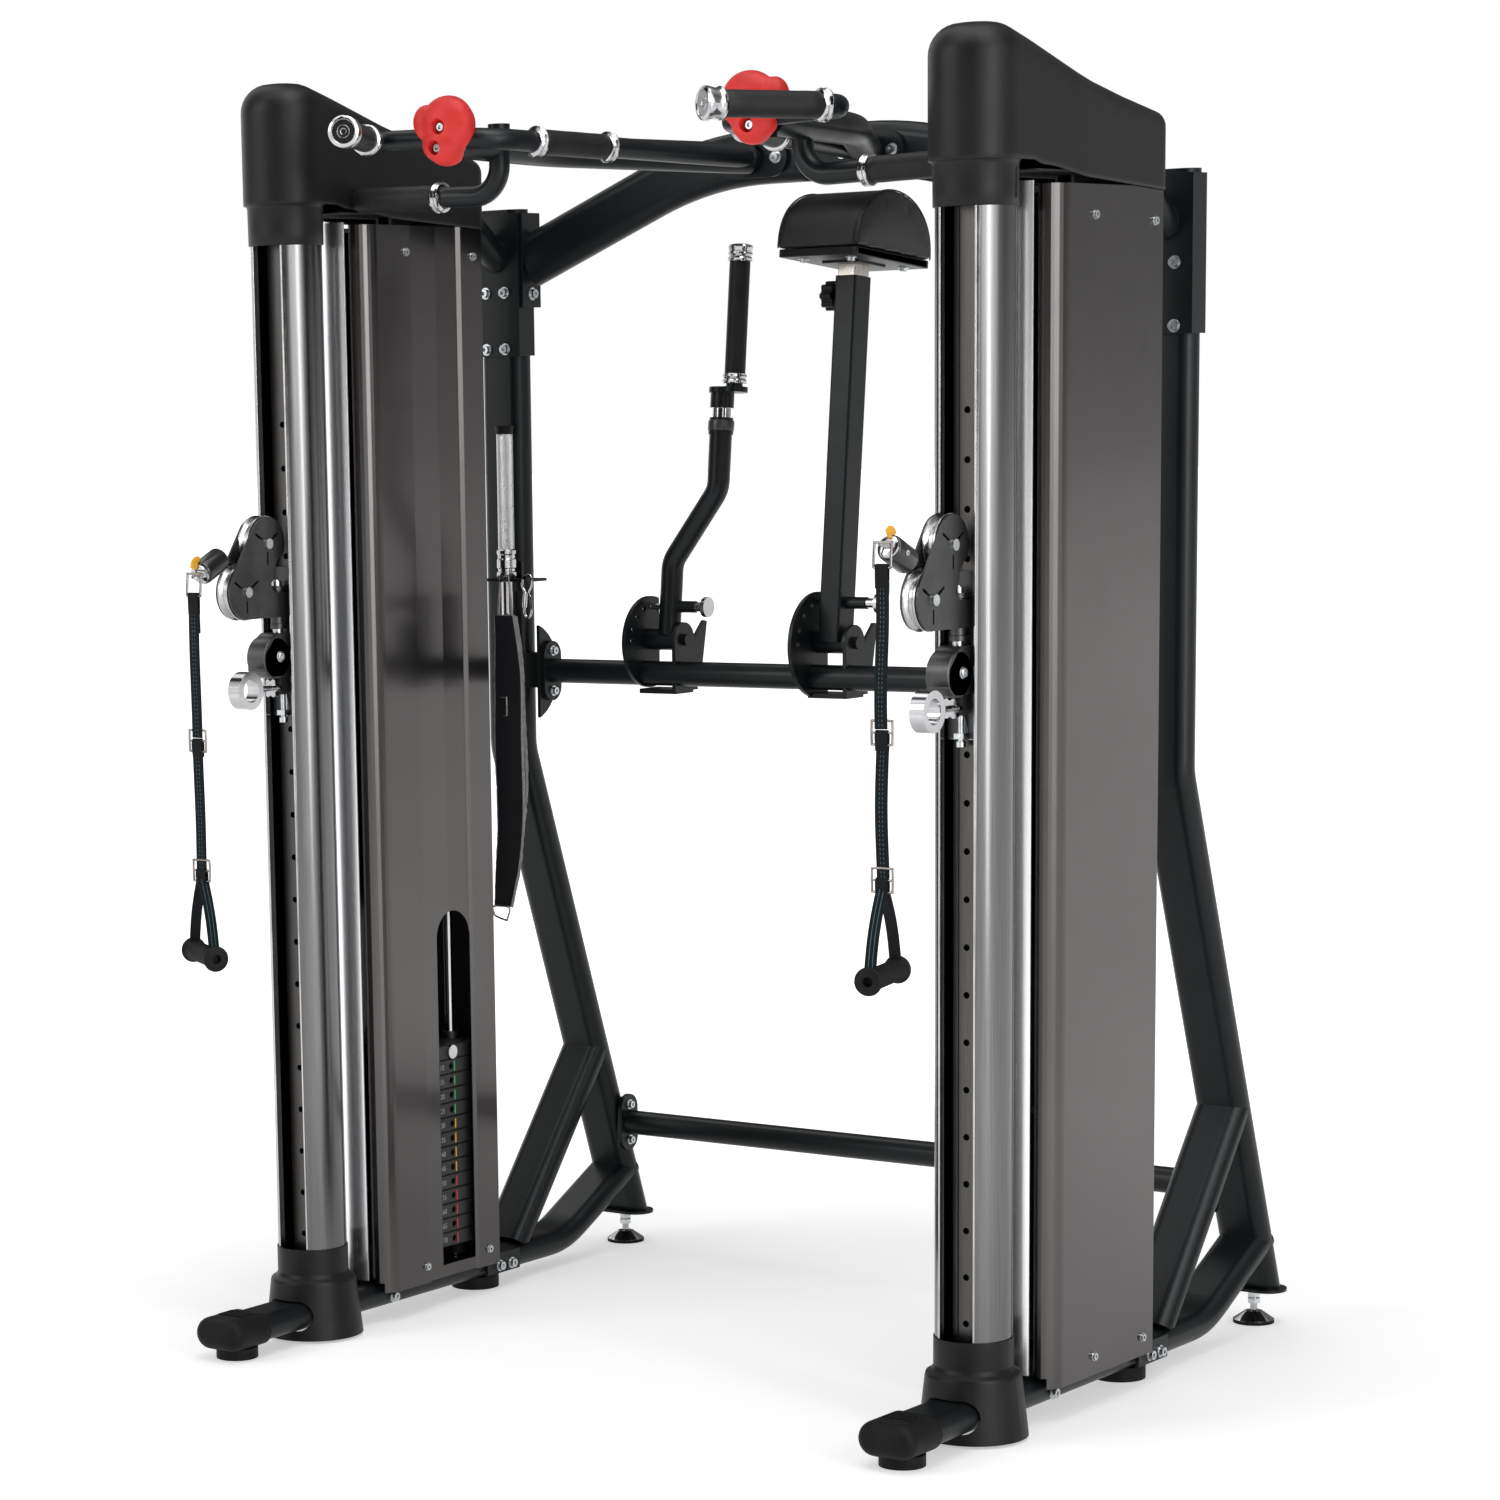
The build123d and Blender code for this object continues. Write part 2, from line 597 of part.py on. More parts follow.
def hull_outline(circles, count=40):
    """Convex hull of (y, z, radius) circles, each sampled at count points."""
    pts = []
    for cy, cz, radius in circles:
        for i in range(count):
            a = 2 * math.pi * i / count
            pts.append((cy + radius * math.cos(a), cz + radius * math.sin(a)))
    pts = sorted(set(pts))

    def cross(o, a, b):
        return (a[0] - o[0]) * (b[1] - o[1]) - (a[1] - o[1]) * (b[0] - o[0])

    def chain(ordered):
        kept = []
        for p in ordered:
            while len(kept) >= 2 and cross(kept[-2], kept[-1], p) <= 0:
                kept.pop()
            kept.append(p)
        return kept[:-1]

    return chain(pts) + chain(pts[::-1])


axles = {"upper": (-86.0, 1336.0), "lower": (-141.0, 1260.0)}    # (y, z)
cheek_in, cheek_t = 11.3, 3.5
cheek_out = cheek_in + cheek_t


def cheek_plate():
    """Side plate of the pulley head, with three radial slots round each axle."""
    outline = hull_outline([(*axles["upper"], 43.5), (*axles["lower"], 44)])
    cheek = plate_x(outline, 0, cheek_t)
    # (y, z) of the extension back to the swivel
    cheek = cheek + plate_x([(-141, 1216), (-42, 1216), (-37, 1221), (-37, 1256),
                             (-70, 1256), (-96, 1290), (-141, 1290)], 0, cheek_t)
    cheek = cheek - rod_x(-1, 5, -40, 1286, 30)
    for y, z in axles.values():
        for angle in (90, 210, 330):
            c, s = math.cos(math.radians(angle)), math.sin(math.radians(angle))
            plane = Plane(origin=(-1, y + 24 * c, z - 24 * s), x_dir=(0, c, -s),
                          z_dir=(1, 0, 0))
            cheek = cheek - extrude(plane * SlotOverall(22, 4.6), 6)
    return cheek


def pulley_arm():
    """Two cheeks joined by the axles, the swivel barrel and a web."""
    cheek = cheek_plate()
    arm = Pos(cheek_in, 0, 0) * cheek + Pos(-cheek_out, 0, 0) * cheek
    for y, z in axles.values():
        arm = arm + rod_x(-cheek_out, cheek_out, y, z, 5.0)
        arm = arm + rod_x(cheek_out, 20, y, z, 8.5) + rod_x(-cheek_out, -20, y, z, 8.5)
    barrel = ring((0, swivel_y, 1204.6), (0, swivel_y, 1257.4), 11.4, 5.06)
    return arm + barrel + box(-cheek_in, cheek_in, -80, -55, 1217, 1221)


save_sides("carriage", carriage())
save_sides("latch_pin", latch_pin())
save_sides("pulley_arm", pulley_arm())
for name, (y, z) in axles.items():
    save_sides(f"{name}_pulley", pulley(y, z))

# ================= cable stops and handles =================
stop_y, stop_z = -188, 1317     # base of the cable stop
stop_reach = 63                 # base to the clip eye


def cable_stop(tilt):
    """Cylinder on the cable end with a flat tip, built upright then swung to its tilt."""
    # (radius, distance from base)
    profile = [(0, 0), (18, 0), (20, 3), (20, 53), (17, 56), (7, 56), (7, 61), (0, 61)]
    stop = turned(profile) + box(-8.5, 8.5, -3, 3, 60, 66)
    stop = Pos(0, stop_y, stop_z) * (Rot(90 - tilt, 0, 0) * stop)
    return stop + rod((0, -160, 1311), (0, -190, 1317), cable_r)


def strap_handle(tilt, aim_x, aim_y):
    """Strap hanging from the stop's eye, and its grip lying along (aim_x, aim_y)."""
    angle = math.radians(tilt)
    hang_y = stop_y - stop_reach * math.cos(angle) - 11
    eye_z = stop_z + stop_reach * math.sin(angle)
    top = eye_z - 20
    grip_z = top - 590

    def grip_pt(distance, z=grip_z):
        return (distance * aim_x, hang_y + distance * aim_y, z)

    def hung_box(half_x, half_y, z0, z1):
        return box(-half_x, half_x, hang_y - half_y, hang_y + half_y, z0, z1)

    link = hung_box(15, 2, top - 12, eye_z + 5) - hung_box(11, 3, top - 8, eye_z + 1)
    webbing = hung_box(10.5, 2, top - 460, top - 12)
    upper_buckle = hung_box(17, 4, top - 260, top - 226)
    lower_buckle = hung_box(17, 4, top - 470, top - 436)
    legs = [rod((0, hang_y, top - 468), grip_pt(d, grip_z + 17), 4) for d in (-62, 62)]
    strap = link + webbing + upper_buckle + lower_buckle + (legs[0] + legs[1])
    strap = strap - rod(grip_pt(-69), grip_pt(69), 21.2)
    grip = rod(grip_pt(-68), grip_pt(68), 16)
    for end in (-1, 1):
        grip = grip + rod(grip_pt(end * 64), grip_pt(end * 70), 21)
    return strap, grip - rod(grip_pt(-80), grip_pt(80), 9)


# side, placing function, tilt in degrees, grip direction in x and y
for side, place, tilt, aim_x, aim_y in (("left", left, -24.0, -0.833, -0.552),
                                        ("right", right, 24.0, 0.228, -0.973)):
    strap, grip = strap_handle(tilt, aim_x, aim_y)
    save(f"cable_stop_{side}", place(cable_stop(tilt)))
    save(f"handle_strap_{side}", place(strap))
    save(f"handle_grip_{side}", place(grip))

# ================= attachments on the mid crossbar =================
pivot_z = 1144.0
lean_deg = 5.7                  # both attachments lean back from upright
lean = math.radians(lean_deg)
pivot_bore, pin_bore = 6.06, 5.08
barrel_half = 30.6              # half length of a pivot barrel
trainer_x = -305.0
trainer_pivot_x = trainer_x - 7
trainer_pin_at, trainer_boss_x = 56.0, trainer_x + 52
pad_x = 28.0
pad_pin_at, pad_boss_x = 66.0, pad_x + 58
knob_at = 570                   # pad knob, up the pad post


def lean_pt(x, distance):
    """Point at a distance from the pivot along the lean."""
    return (x, post_y + distance * math.sin(lean), pivot_z + distance * math.cos(lean))


def lean_rod(x, near, far, radius):
    return rod(lean_pt(x, near), lean_pt(x, far), radius)


def cross_rod(x0, x1, distance, radius):
    """Rod along X at a distance up the lean."""
    return rod(lean_pt(x0, distance), lean_pt(x1, distance), radius)


def crossbar_bracket(centre_x, disc_r, pin_at):
    """Holed index plate on the left, support plate on the right, tie and pivot."""
    left0, left1 = centre_x - 38, centre_x - 31
    right0, right1 = centre_x + 31, centre_x + 38
    index = rod_x(left0, left1, post_y, pivot_z - 4, disc_r)
    index = index - box(left0 - 1, left1 + 1, post_y + 26, post_y + 120,
                        pivot_z - 120, pivot_z + 120)
    for step in (-15, 0, 25, 50, 75, 95):
        a = math.radians(90 - lean_deg + step)
        index = index - rod_x(left0 - 1, left1 + 1, post_y + pin_at * math.cos(a),
                              pivot_z + pin_at * math.sin(a), 5.3)
    support = rod_x(right0, right1, post_y, pivot_z, 30)
    support = support + box(right0, right1, post_y - 28, post_y + 40, mid_z - 30, pivot_z)
    # (y from post, z from pivot) of the horn rising at the rear
    horn = [(10, -20), (62, 30), (70, 28), (52, -60), (10, -60)]
    support = support + plate_x([(post_y + y, pivot_z + z) for y, z in horn], right0, right1)
    bracket = index + support
    bracket = bracket + box(left0, right1, post_y - 26, post_y + 26, mid_z - 34, mid_z - 26)
    bracket = bracket - rod_x(left0 - 5, right1 + 5, mid_y, mid_z, mid_r + 0.05)
    bracket = bracket + rod_x(left0, right1, post_y, pivot_z, 6.0)
    return bracket + rod_x(right1, right1 + 8, post_y, pivot_z, 10)


def locking_pin(start_x, distance, boss_x, knob_x):
    """Pin through an arm and its index plate side, with a collar and a round knob."""
    pin = cross_rod(start_x, knob_x - 4, distance, 5.0)
    pin = pin + cross_rod(boss_x + 0.4, knob_x, distance, 8)
    return pin + cross_rod(knob_x, knob_x + 8, distance, 17)


trainer_barrel_x0 = trainer_pivot_x - barrel_half
trainer_top_x = trainer_x + 86      # axis of the tube above its sideways offset


def trainer_arm():
    """Pivot barrel and an offset-bent tube ending in a spigot."""
    x0, x1 = trainer_barrel_x0, trainer_pivot_x + barrel_half
    arm = rod_x(x0, x1, post_y, pivot_z, 18)
    arm = arm + pipe([lean_pt(trainer_x, 8), lean_pt(trainer_x, 132),
                      lean_pt(trainer_top_x, 254), lean_pt(trainer_top_x, 352)], 45, 19)
    arm = arm + lean_rod(trainer_top_x, 346, 354, 21)
    arm = arm + lean_rod(trainer_top_x, 354, 408, 12)
    arm = arm - rod_x(x0 - 1, x1 + 1, post_y, pivot_z, pivot_bore)
    arm = arm + cross_rod(trainer_x, trainer_boss_x, trainer_pin_at, 10)
    return arm - cross_rod(x0 - 20, trainer_x + 60, trainer_pin_at, pin_bore)


trainer_grip_x = trainer_top_x + 23


def trainer_handle():
    """Grooved socket over the spigot, with the handle bar offset on a rounded plate."""
    x = trainer_top_x
    handle = ring(lean_pt(x, 354.5), lean_pt(x, 412), 20, 12.06) + lean_rod(x, 408.2, 416, 20)
    handle = handle - (lean_rod(x, 374, 390, 26) - lean_rod(x, 370, 394, 15.5))
    handle = handle + lean_rod(x, 416, 425, 23) + lean_rod(trainer_grip_x, 416, 425, 23)
    return handle + lean_rod(trainer_grip_x, 425, 662, 14)


pad_plane = Plane(origin=lean_pt(pad_x, 0), x_dir=(1, 0, 0),
                  z_dir=(0, math.sin(lean), math.cos(lean)))


def pad_block(start, length, width, depth, corner):
    """Rounded block square to the pad post, starting a distance up it."""
    return extrude(pad_plane.offset(start) * RectangleRounded(width, depth, corner), length)


def pad_post():
    x0, x1 = pad_x - barrel_half, pad_x + barrel_half
    post = pad_block(0, 600, 40, 50, 4)
    post = post - pad_block(40, 600, 34, 44, 2)
    post = post + rod_x(x0, x1, post_y, pivot_z, 18)
    post = post - rod_x(x0 - 1, x1 + 1, post_y, pivot_z, pivot_bore)
    post = post + cross_rod(pad_x + 15, pad_boss_x, pad_pin_at, 10)
    post = post - cross_rod(pad_x - 40, pad_x + 70, pad_pin_at, pin_bore)
    post = post + cross_rod(pad_x - 19, pad_x - 26, knob_at, 11)
    return post - cross_rod(pad_x - 40, pad_x - 10, knob_at, pin_bore)


def pad_slider():
    """Telescopic inner tube with the plate and board under the cushion."""
    slider = pad_block(330, 292, 33.6, 43.6, 2) - pad_block(329, 300, 28, 38, 2)
    return slider + pad_block(618, 4, 70, 90, 4) + pad_block(622, 12, 148, 226, 6)


def arm_pad():
    """Half-round cushion, rounded across the depth."""
    outline = [(-120, 0), (120, 0)]
    for i in range(1, 24):
        a = math.pi * i / 24
        outline.append((118.0 * math.cos(a), 4 + 94.0 * math.sin(a) ** 0.9))
    plane = Plane(origin=lean_pt(pad_x - 79, 634.1), x_dir=(0, math.cos(lean), -math.sin(lean)),
                  z_dir=(1, 0, 0))
    return extrude(plane * Polygon(*outline, align=None), 158)


def pad_knob():
    knob = cross_rod(pad_x - 17.4, pad_x - 38, knob_at, 5.0)
    plane = Plane(origin=lean_pt(pad_x - 28, knob_at), x_dir=(0, 1, 0), z_dir=INWARD)
    return knob + star_knob(plane, core_r=20, lobes=8, lobe_at=19, lobe_r=5.2, depth=21)


save("trainer_arm", trainer_arm())
save("trainer_pin", locking_pin(trainer_barrel_x0 - 0.2, trainer_pin_at, trainer_boss_x,
                                trainer_x + 70))
save("trainer_handle", trainer_handle())
save("trainer_grip", ring(lean_pt(trainer_grip_x, 446), lean_pt(trainer_grip_x, 634), 17.5, 14.0))
save("pad_post", pad_post())
save("pad_pin", locking_pin(pad_x - barrel_half - 0.2, pad_pin_at, pad_boss_x, pad_x + 78))
save("pad_slider", pad_slider())
save("arm_pad", arm_pad())
save("pad_knob", pad_knob())

# ================= accessories on the left post =================
post_face = post_y - tube_h / 2
bar_x, bar_y = -half_spacing + 28, 549.0      # hanging bar
peg_x = -half_spacing + 48                    # peg the strap hangs on


def accessory_hook():
    """Plate on the post's front face with a holed shelf, a hooked peg and a short peg."""
    shelf_z = 1246.5
    hook = box(-half_spacing - 20, -half_spacing + 45, post_face - 6, post_face - 0.1, 1225, 1275)
    hook = hook + box(-half_spacing - 5, -half_spacing + 98, 524, post_face - 5, 1244, 1249)
    hook = hook - rod_z(bar_x, bar_y, 1240, 1252, 11.5)
    hook = hook + rod_y(peg_x, 526, 503, shelf_z, 2.5) + rod_z(peg_x, 505.5, shelf_z, 1258, 2.5)
    short_x = -half_spacing + 94
    return hook + rod((short_x, 525, shelf_z), (short_x, 510, 1252), 4)


def accessory_bar():
    # (z from, z to, radius)
    runs = [(1249.2, 1300, 17), (1300, 1512, 14), (1252, 1060, 10), (1060, 1046, 12)]
    pieces = [rod_z(bar_x, bar_y, *run) for run in runs]
    return pieces[0] + pieces[1] + pieces[2] + pieces[3]


def ankle_strap():
    """Long loop with a clip over the peg."""
    def hung_box(half_x, half_y, z0, z1):
        return box(peg_x - half_x, peg_x + half_x, 515.0 - half_y, 515.0 + half_y, z0, z1)

    strap = hung_box(30, 8.5, 668, 1190) - hung_box(23, 4.5, 720, 1150)
    return strap + (hung_box(9, 2.5, 1188, 1254) - hung_box(5, 3, 1196, 1249.2))


save("accessory_bar", accessory_bar())
save("ankle_strap", ankle_strap())
save("attachment_brackets", crossbar_bracket(trainer_pivot_x, 78, trainer_pin_at),
     crossbar_bracket(pad_x, 88, pad_pin_at), accessory_hook())


# ================= fasteners =================
def foot_nut(z):
    """Hexagon nut on the levelling foot's stem."""
    nut = extrude(Plane(origin=(0, 0, z)) * RegularPolygon(11, 6), 8)
    return Pos(0, foot_y, 0) * (nut - rod_z(0, 0, z - 1, z + 9, 6.05))


def tower_bolts():
    bolts = []
    for x, y, z in ((46.0, 160, 40), (51.0, 460, 41), (51.0, 495, 40)):   # base rail
        bolts += [bolt(x, y, z, OUTWARD), bolt(-x, y, z, INWARD)]
    for x in (-20, 20):                                                   # top link bracket
        bolts += [bolt(x, bracket_front, z, FORWARD) for z in (1738, 1642)]
    bolts += [foot_nut(44.0), foot_nut(33.0)]
    for x, y, z in ((-98.0, mid_y, mid_z - 35), (-98.0, mid_y, mid_z + 35),
                    (-58.0, low_y, low_z - 33), (-58.0, low_y, low_z + 33)):
        bolts.append(bolt(x, y, z, INWARD, head_r=6.5, head_h=6, washer_r=9))
    bolts.append(bolt(-56.0, post_y, 1735, INWARD, washer_r=11))
    return bolts


def panel_screws():
    small = dict(head_r=6, head_h=3.5, washer_r=7)
    screws = []
    # y on the outer panel, y on the inner panel, z
    for outer_y, inner_y, z in ((230, 230, 1802), (414, 414, 1796),
                                (250, 230, 82), (405, 410, 82)):
        screws.append(bolt(panel_half, outer_y, z, OUTWARD, **small))
        screws.append(bolt(-panel_half, inner_y, z, INWARD, **small))
    return screws


flange_bolts = [bolt(side * flange_x + dx, bracket_front, beam_flange_z, FORWARD)
                for side in (-1, 1) for dx in (-47, 47)]
save("frame_bolts", *both(*tower_bolts()), *flange_bolts, *both(*panel_screws()))
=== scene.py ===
import bpy, bmesh, math
import numpy as np
from mathutils import Vector, Matrix

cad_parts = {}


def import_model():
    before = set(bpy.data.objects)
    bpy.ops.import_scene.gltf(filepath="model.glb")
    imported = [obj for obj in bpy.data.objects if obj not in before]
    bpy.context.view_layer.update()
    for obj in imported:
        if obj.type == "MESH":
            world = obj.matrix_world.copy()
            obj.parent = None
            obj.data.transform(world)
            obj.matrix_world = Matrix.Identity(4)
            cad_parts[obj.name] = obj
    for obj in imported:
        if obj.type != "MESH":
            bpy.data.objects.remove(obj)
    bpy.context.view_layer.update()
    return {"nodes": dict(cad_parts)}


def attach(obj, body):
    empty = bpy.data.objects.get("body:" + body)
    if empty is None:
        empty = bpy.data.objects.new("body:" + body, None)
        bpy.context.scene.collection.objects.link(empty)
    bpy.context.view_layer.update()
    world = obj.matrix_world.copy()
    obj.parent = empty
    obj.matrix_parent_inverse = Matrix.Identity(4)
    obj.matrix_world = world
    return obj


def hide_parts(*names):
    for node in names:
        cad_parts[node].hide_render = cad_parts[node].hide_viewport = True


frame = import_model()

MM = 0.001
Y0 = 314.045    # this file measures y from the column axes; the frame's origin lies this far behind them
A = 640.0
NODES = frame["nodes"]
SC = bpy.context.scene
RNG = np.random.default_rng(7)


# ------------------------------------------------------------------ materials
class NT:
    """Small helper that builds a node tree for one material."""

    def __init__(self, name):
        self.m = bpy.data.materials.new(name)
        self.m.use_nodes = True
        self.t = self.m.node_tree
        self.n = self.t.nodes
        self.l = self.t.links
        self.b = self.n["Principled BSDF"]
        tc = self.n.new("ShaderNodeTexCoord")
        self.co = tc.outputs["Object"]

    def set(self, **kw):
        for k, v in kw.items():
            key = k.replace("_", " ")
            self.b.inputs[key].default_value = v
        return self

    def map(self, scale=(1, 1, 1)):
        m = self.n.new("ShaderNodeMapping")
        m.inputs["Scale"].default_value = scale
        self.l.new(self.co, m.inputs["Vector"])
        return m.outputs[0]

    def noise(self, scale, detail=3.0, rough=0.55, vec=None):
        t = self.n.new("ShaderNodeTexNoise")
        t.inputs["Scale"].default_value = scale
        t.inputs["Detail"].default_value = detail
        t.inputs["Roughness"].default_value = rough
        self.l.new(vec if vec is not None else self.co, t.inputs["Vector"])
        return t.outputs["Fac"]

    def voronoi(self, scale, feature="F1", vec=None):
        t = self.n.new("ShaderNodeTexVoronoi")
        t.feature = feature
        t.inputs["Scale"].default_value = scale
        self.l.new(vec if vec is not None else self.co, t.inputs["Vector"])
        return t.outputs["Distance"]

    def ramp(self, fac, stops):
        r = self.n.new("ShaderNodeValToRGB")
        e = r.color_ramp.elements
        while len(e) < len(stops):
            e.new(0.5)
        for i, (p, c) in enumerate(stops):
            e[i].position = p
            e[i].color = (*c, 1) if not isinstance(c, float) else (c, c, c, 1)
        self.l.new(fac, r.inputs["Fac"])
        return r.outputs["Color"]

    def rng(self, fac, a, b, lo=0.0, hi=1.0):
        r = self.n.new("ShaderNodeMapRange")
        r.inputs["From Min"].default_value = lo
        r.inputs["From Max"].default_value = hi
        r.inputs["To Min"].default_value = a
        r.inputs["To Max"].default_value = b
        self.l.new(fac, r.inputs["Value"])
        return r.outputs[0]

    def math(self, op, a, b=None):
        m = self.n.new("ShaderNodeMath")
        m.operation = op
        for i, v in enumerate((a, b)):
            if v is None:
                continue
            if isinstance(v, (int, float)):
                m.inputs[i].default_value = v
            else:
                self.l.new(v, m.inputs[i])
        return m.outputs[0]

    def xyz(self):
        s = self.n.new("ShaderNodeSeparateXYZ")
        self.l.new(self.co, s.inputs[0])
        return s.outputs

    def bump(self, height, strength=0.2, dist=0.001, bevel=None):
        b = self.n.new("ShaderNodeBump")
        b.inputs["Strength"].default_value = strength
        b.inputs["Distance"].default_value = dist
        self.l.new(height, b.inputs["Height"])
        if bevel:
            v = self.n.new("ShaderNodeBevel")
            v.samples = 3
            v.inputs["Radius"].default_value = bevel
            self.l.new(v.outputs[0], b.inputs["Normal"])
        self.l.new(b.outputs[0], self.b.inputs["Normal"])
        return self

    def link(self, out, inp):
        self.l.new(out, self.b.inputs[inp])
        return self


def make_materials():
    M = {}
    # satin powder coat with a faint blue-green cast and orange peel
    t = NT("paint").set(Specular_IOR_Level=0.20, Metallic=0.0, Roughness=0.34, Coat_Weight=0.04, Coat_Roughness=0.12)
    n1 = t.noise(6, 4)
    t.link(t.ramp(n1, [(0.3, (0.0030, 0.0042, 0.0050)), (0.75, (0.0060, 0.0080, 0.0092))]), "Base Color")
    t.link(t.rng(t.noise(35, 5), 0.30, 0.44), "Roughness")
    t.bump(t.noise(1400, 2), 0.10, 0.0004, 0.0012)
    M["paint"] = t.m
    # dark anodised aluminium, drawn along its length
    t = NT("anodised").set(Metallic=1.0, Roughness=0.3)
    v = t.map((260, 260, 2.0))
    g = t.noise(3.0, 3, vec=v)
    t.link(t.ramp(g, [(0.3, (0.11, 0.11, 0.112)), (0.7, (0.15, 0.149, 0.15))]), "Base Color")
    t.link(t.rng(g, 0.15, 0.26), "Roughness")
    t.bump(g, 0.05, 0.0003, 0.0008)
    M["anodised"] = t.m
    # brushed steel bar
    t = NT("bar_steel").set(Metallic=1.0, Roughness=0.3)
    v = t.map((500, 500, 3.0))
    g = t.noise(3.0, 4, vec=v)
    t.link(t.ramp(g, [(0.3, (0.060, 0.056, 0.052)), (0.7, (0.105, 0.10, 0.095))]), "Base Color")
    t.link(t.rng(g, 0.22, 0.42), "Roughness")
    t.bump(g, 0.12, 0.0003, 0.0005)
    M["bar_steel"] = t.m
    # moulded plastic with a fine leather-like grain
    t = NT("plastic").set(Metallic=0.0, Specular_IOR_Level=0.19)
    n1 = t.noise(9, 3)
    t.link(t.ramp(n1, [(0.3, (0.0050, 0.0050, 0.0053)), (0.75, (0.0090, 0.0090, 0.0094))]), "Base Color")
    t.link(t.rng(t.noise(60, 4), 0.36, 0.48), "Roughness")
    vz = t.voronoi(950)
    t.bump(t.math("ADD", vz, t.noise(1600, 2)), 0.16, 0.0004, 0.002)
    M["plastic"] = t.m
    # satin silver extrusion
    t = NT("silver").set(Metallic=1.0)
    v = t.map((420, 420, 1.5))
    g = t.noise(3.0, 3, vec=v)
    t.link(t.ramp(g, [(0.3, (0.74, 0.75, 0.77)), (0.7, (0.88, 0.89, 0.90))]), "Base Color")
    t.link(t.rng(g, 0.18, 0.30), "Roughness")
    t.bump(g, 0.06, 0.0002, 0.0006)
    M["silver"] = t.m
    # metallic bronze-grey casing: flakes under a clear coat
    t = NT("casing").set(Metallic=1.0, Coat_Weight=0.12, Coat_Roughness=0.08)
    fl = t.voronoi(1500)
    base = t.ramp(t.noise(2.2, 3), [(0.3, (0.078, 0.074, 0.072)), (0.75, (0.096, 0.091, 0.089))])
    mix = t.n.new("ShaderNodeMixRGB")
    mix.blend_type = "MULTIPLY"
    mix.inputs[0].default_value = 0.6
    t.l.new(base, mix.inputs[1])
    t.l.new(t.ramp(fl, [(0.0, (1.35, 1.33, 1.3)), (0.5, (0.85, 0.85, 0.86))]), mix.inputs[2])
    t.link(mix.outputs[0], "Base Color")
    t.link(t.rng(t.noise(25, 4), 0.17, 0.24), "Roughness")
    t.bump(t.math("ADD", t.noise(9, 2), t.math("MULTIPLY", t.noise(1300, 2), 0.1)), 0.05, 0.002, 0.0015)
    M["casing"] = t.m
    # textured black plates
    t = NT("plate").set(Metallic=0.1)
    t.link(t.ramp(t.noise(14, 3), [(0.3, (0.005, 0.005, 0.0055)), (0.7, (0.011, 0.011, 0.0115))]), "Base Color")
    t.link(t.rng(t.noise(120, 3), 0.38, 0.55), "Roughness")
    t.bump(t.noise(900, 3), 0.30, 0.0005, 0.0015)
    M["plate"] = t.m
    # chrome with tiny smudges
    t = NT("chrome").set(Metallic=1.0)
    t.link(t.ramp(t.noise(18, 3), [(0.3, (0.36, 0.36, 0.37)), (0.7, (0.47, 0.47, 0.48))]), "Base Color")
    t.link(t.rng(t.noise(45, 5), 0.06, 0.17), "Roughness")
    t.bump(t.noise(200, 2), 0.03, 0.0003, 0.0006)
    M["chrome"] = t.m
    # bronzed steel wire for rings and buckles
    t = NT("wire").set(Metallic=1.0)
    t.link(t.ramp(t.noise(60, 3), [(0.3, (0.17, 0.15, 0.14)), (0.7, (0.30, 0.27, 0.25))]), "Base Color")
    t.link(t.rng(t.noise(90, 4), 0.16, 0.30), "Roughness")
    t.bump(t.noise(300, 2), 0.05, 0.0003, 0.0004)
    M["wire"] = t.m
    # zinc fasteners
    t = NT("zinc").set(Metallic=1.0)
    t.link(t.ramp(t.noise(90, 3), [(0.3, (0.40, 0.42, 0.43)), (0.7, (0.60, 0.63, 0.64))]), "Base Color")
    t.link(t.rng(t.noise(150, 4), 0.2, 0.38), "Roughness")
    t.bump(t.noise(500, 2), 0.10, 0.0003, 0.0005)
    M["zinc"] = t.m
    # machined alloy with fine noise in colour, roughness and bump
    t = NT("machined").set(Metallic=1.0)
    s = t.xyz()
    g = t.noise(650, 2)
    t.link(t.ramp(g, [(0.3, (0.30, 0.30, 0.305)), (0.7, (0.42, 0.42, 0.425))]), "Base Color")
    t.link(t.rng(g, 0.16, 0.32), "Roughness")
    t.bump(g, 0.08, 0.0003, 0.0008)
    M["machined"] = t.m
    # dark painted bracket steel
    t = NT("bracket").set(Metallic=0.75, Coat_Weight=0.1)
    t.link(t.ramp(t.noise(30, 4), [(0.3, (0.045, 0.044, 0.045)), (0.7, (0.070, 0.068, 0.069))]), "Base Color")
    t.link(t.rng(t.noise(70, 4), 0.33, 0.45), "Roughness")
    t.bump(t.noise(1500, 2), 0.12, 0.0004, 0.0010)
    M["bracket"] = t.m
    # soft rubber
    t = NT("rubber").set(Metallic=0.0, Specular_IOR_Level=0.12)
    t.link(t.ramp(t.noise(25, 4), [(0.3, (0.005, 0.005, 0.0052)), (0.7, (0.010, 0.010, 0.0105))]), "Base Color")
    t.link(t.rng(t.noise(80, 4), 0.48, 0.66), "Roughness")
    t.bump(t.noise(1100, 4), 0.35, 0.0004, 0.0010)
    M["rubber"] = t.m
    # foam grip, finer and duller
    t = NT("grip").set(Metallic=0.0, Specular_IOR_Level=0.2)
    t.link(t.ramp(t.noise(40, 4), [(0.3, (0.007, 0.007, 0.0075)), (0.7, (0.013, 0.013, 0.0135))]), "Base Color")
    t.link(t.rng(t.noise(150, 4), 0.42, 0.58), "Roughness")
    t.bump(t.math("ADD", t.noise(2200, 2), t.math("MULTIPLY", t.voronoi(700), 0.5)), 0.25, 0.0003)
    M["grip"] = t.m
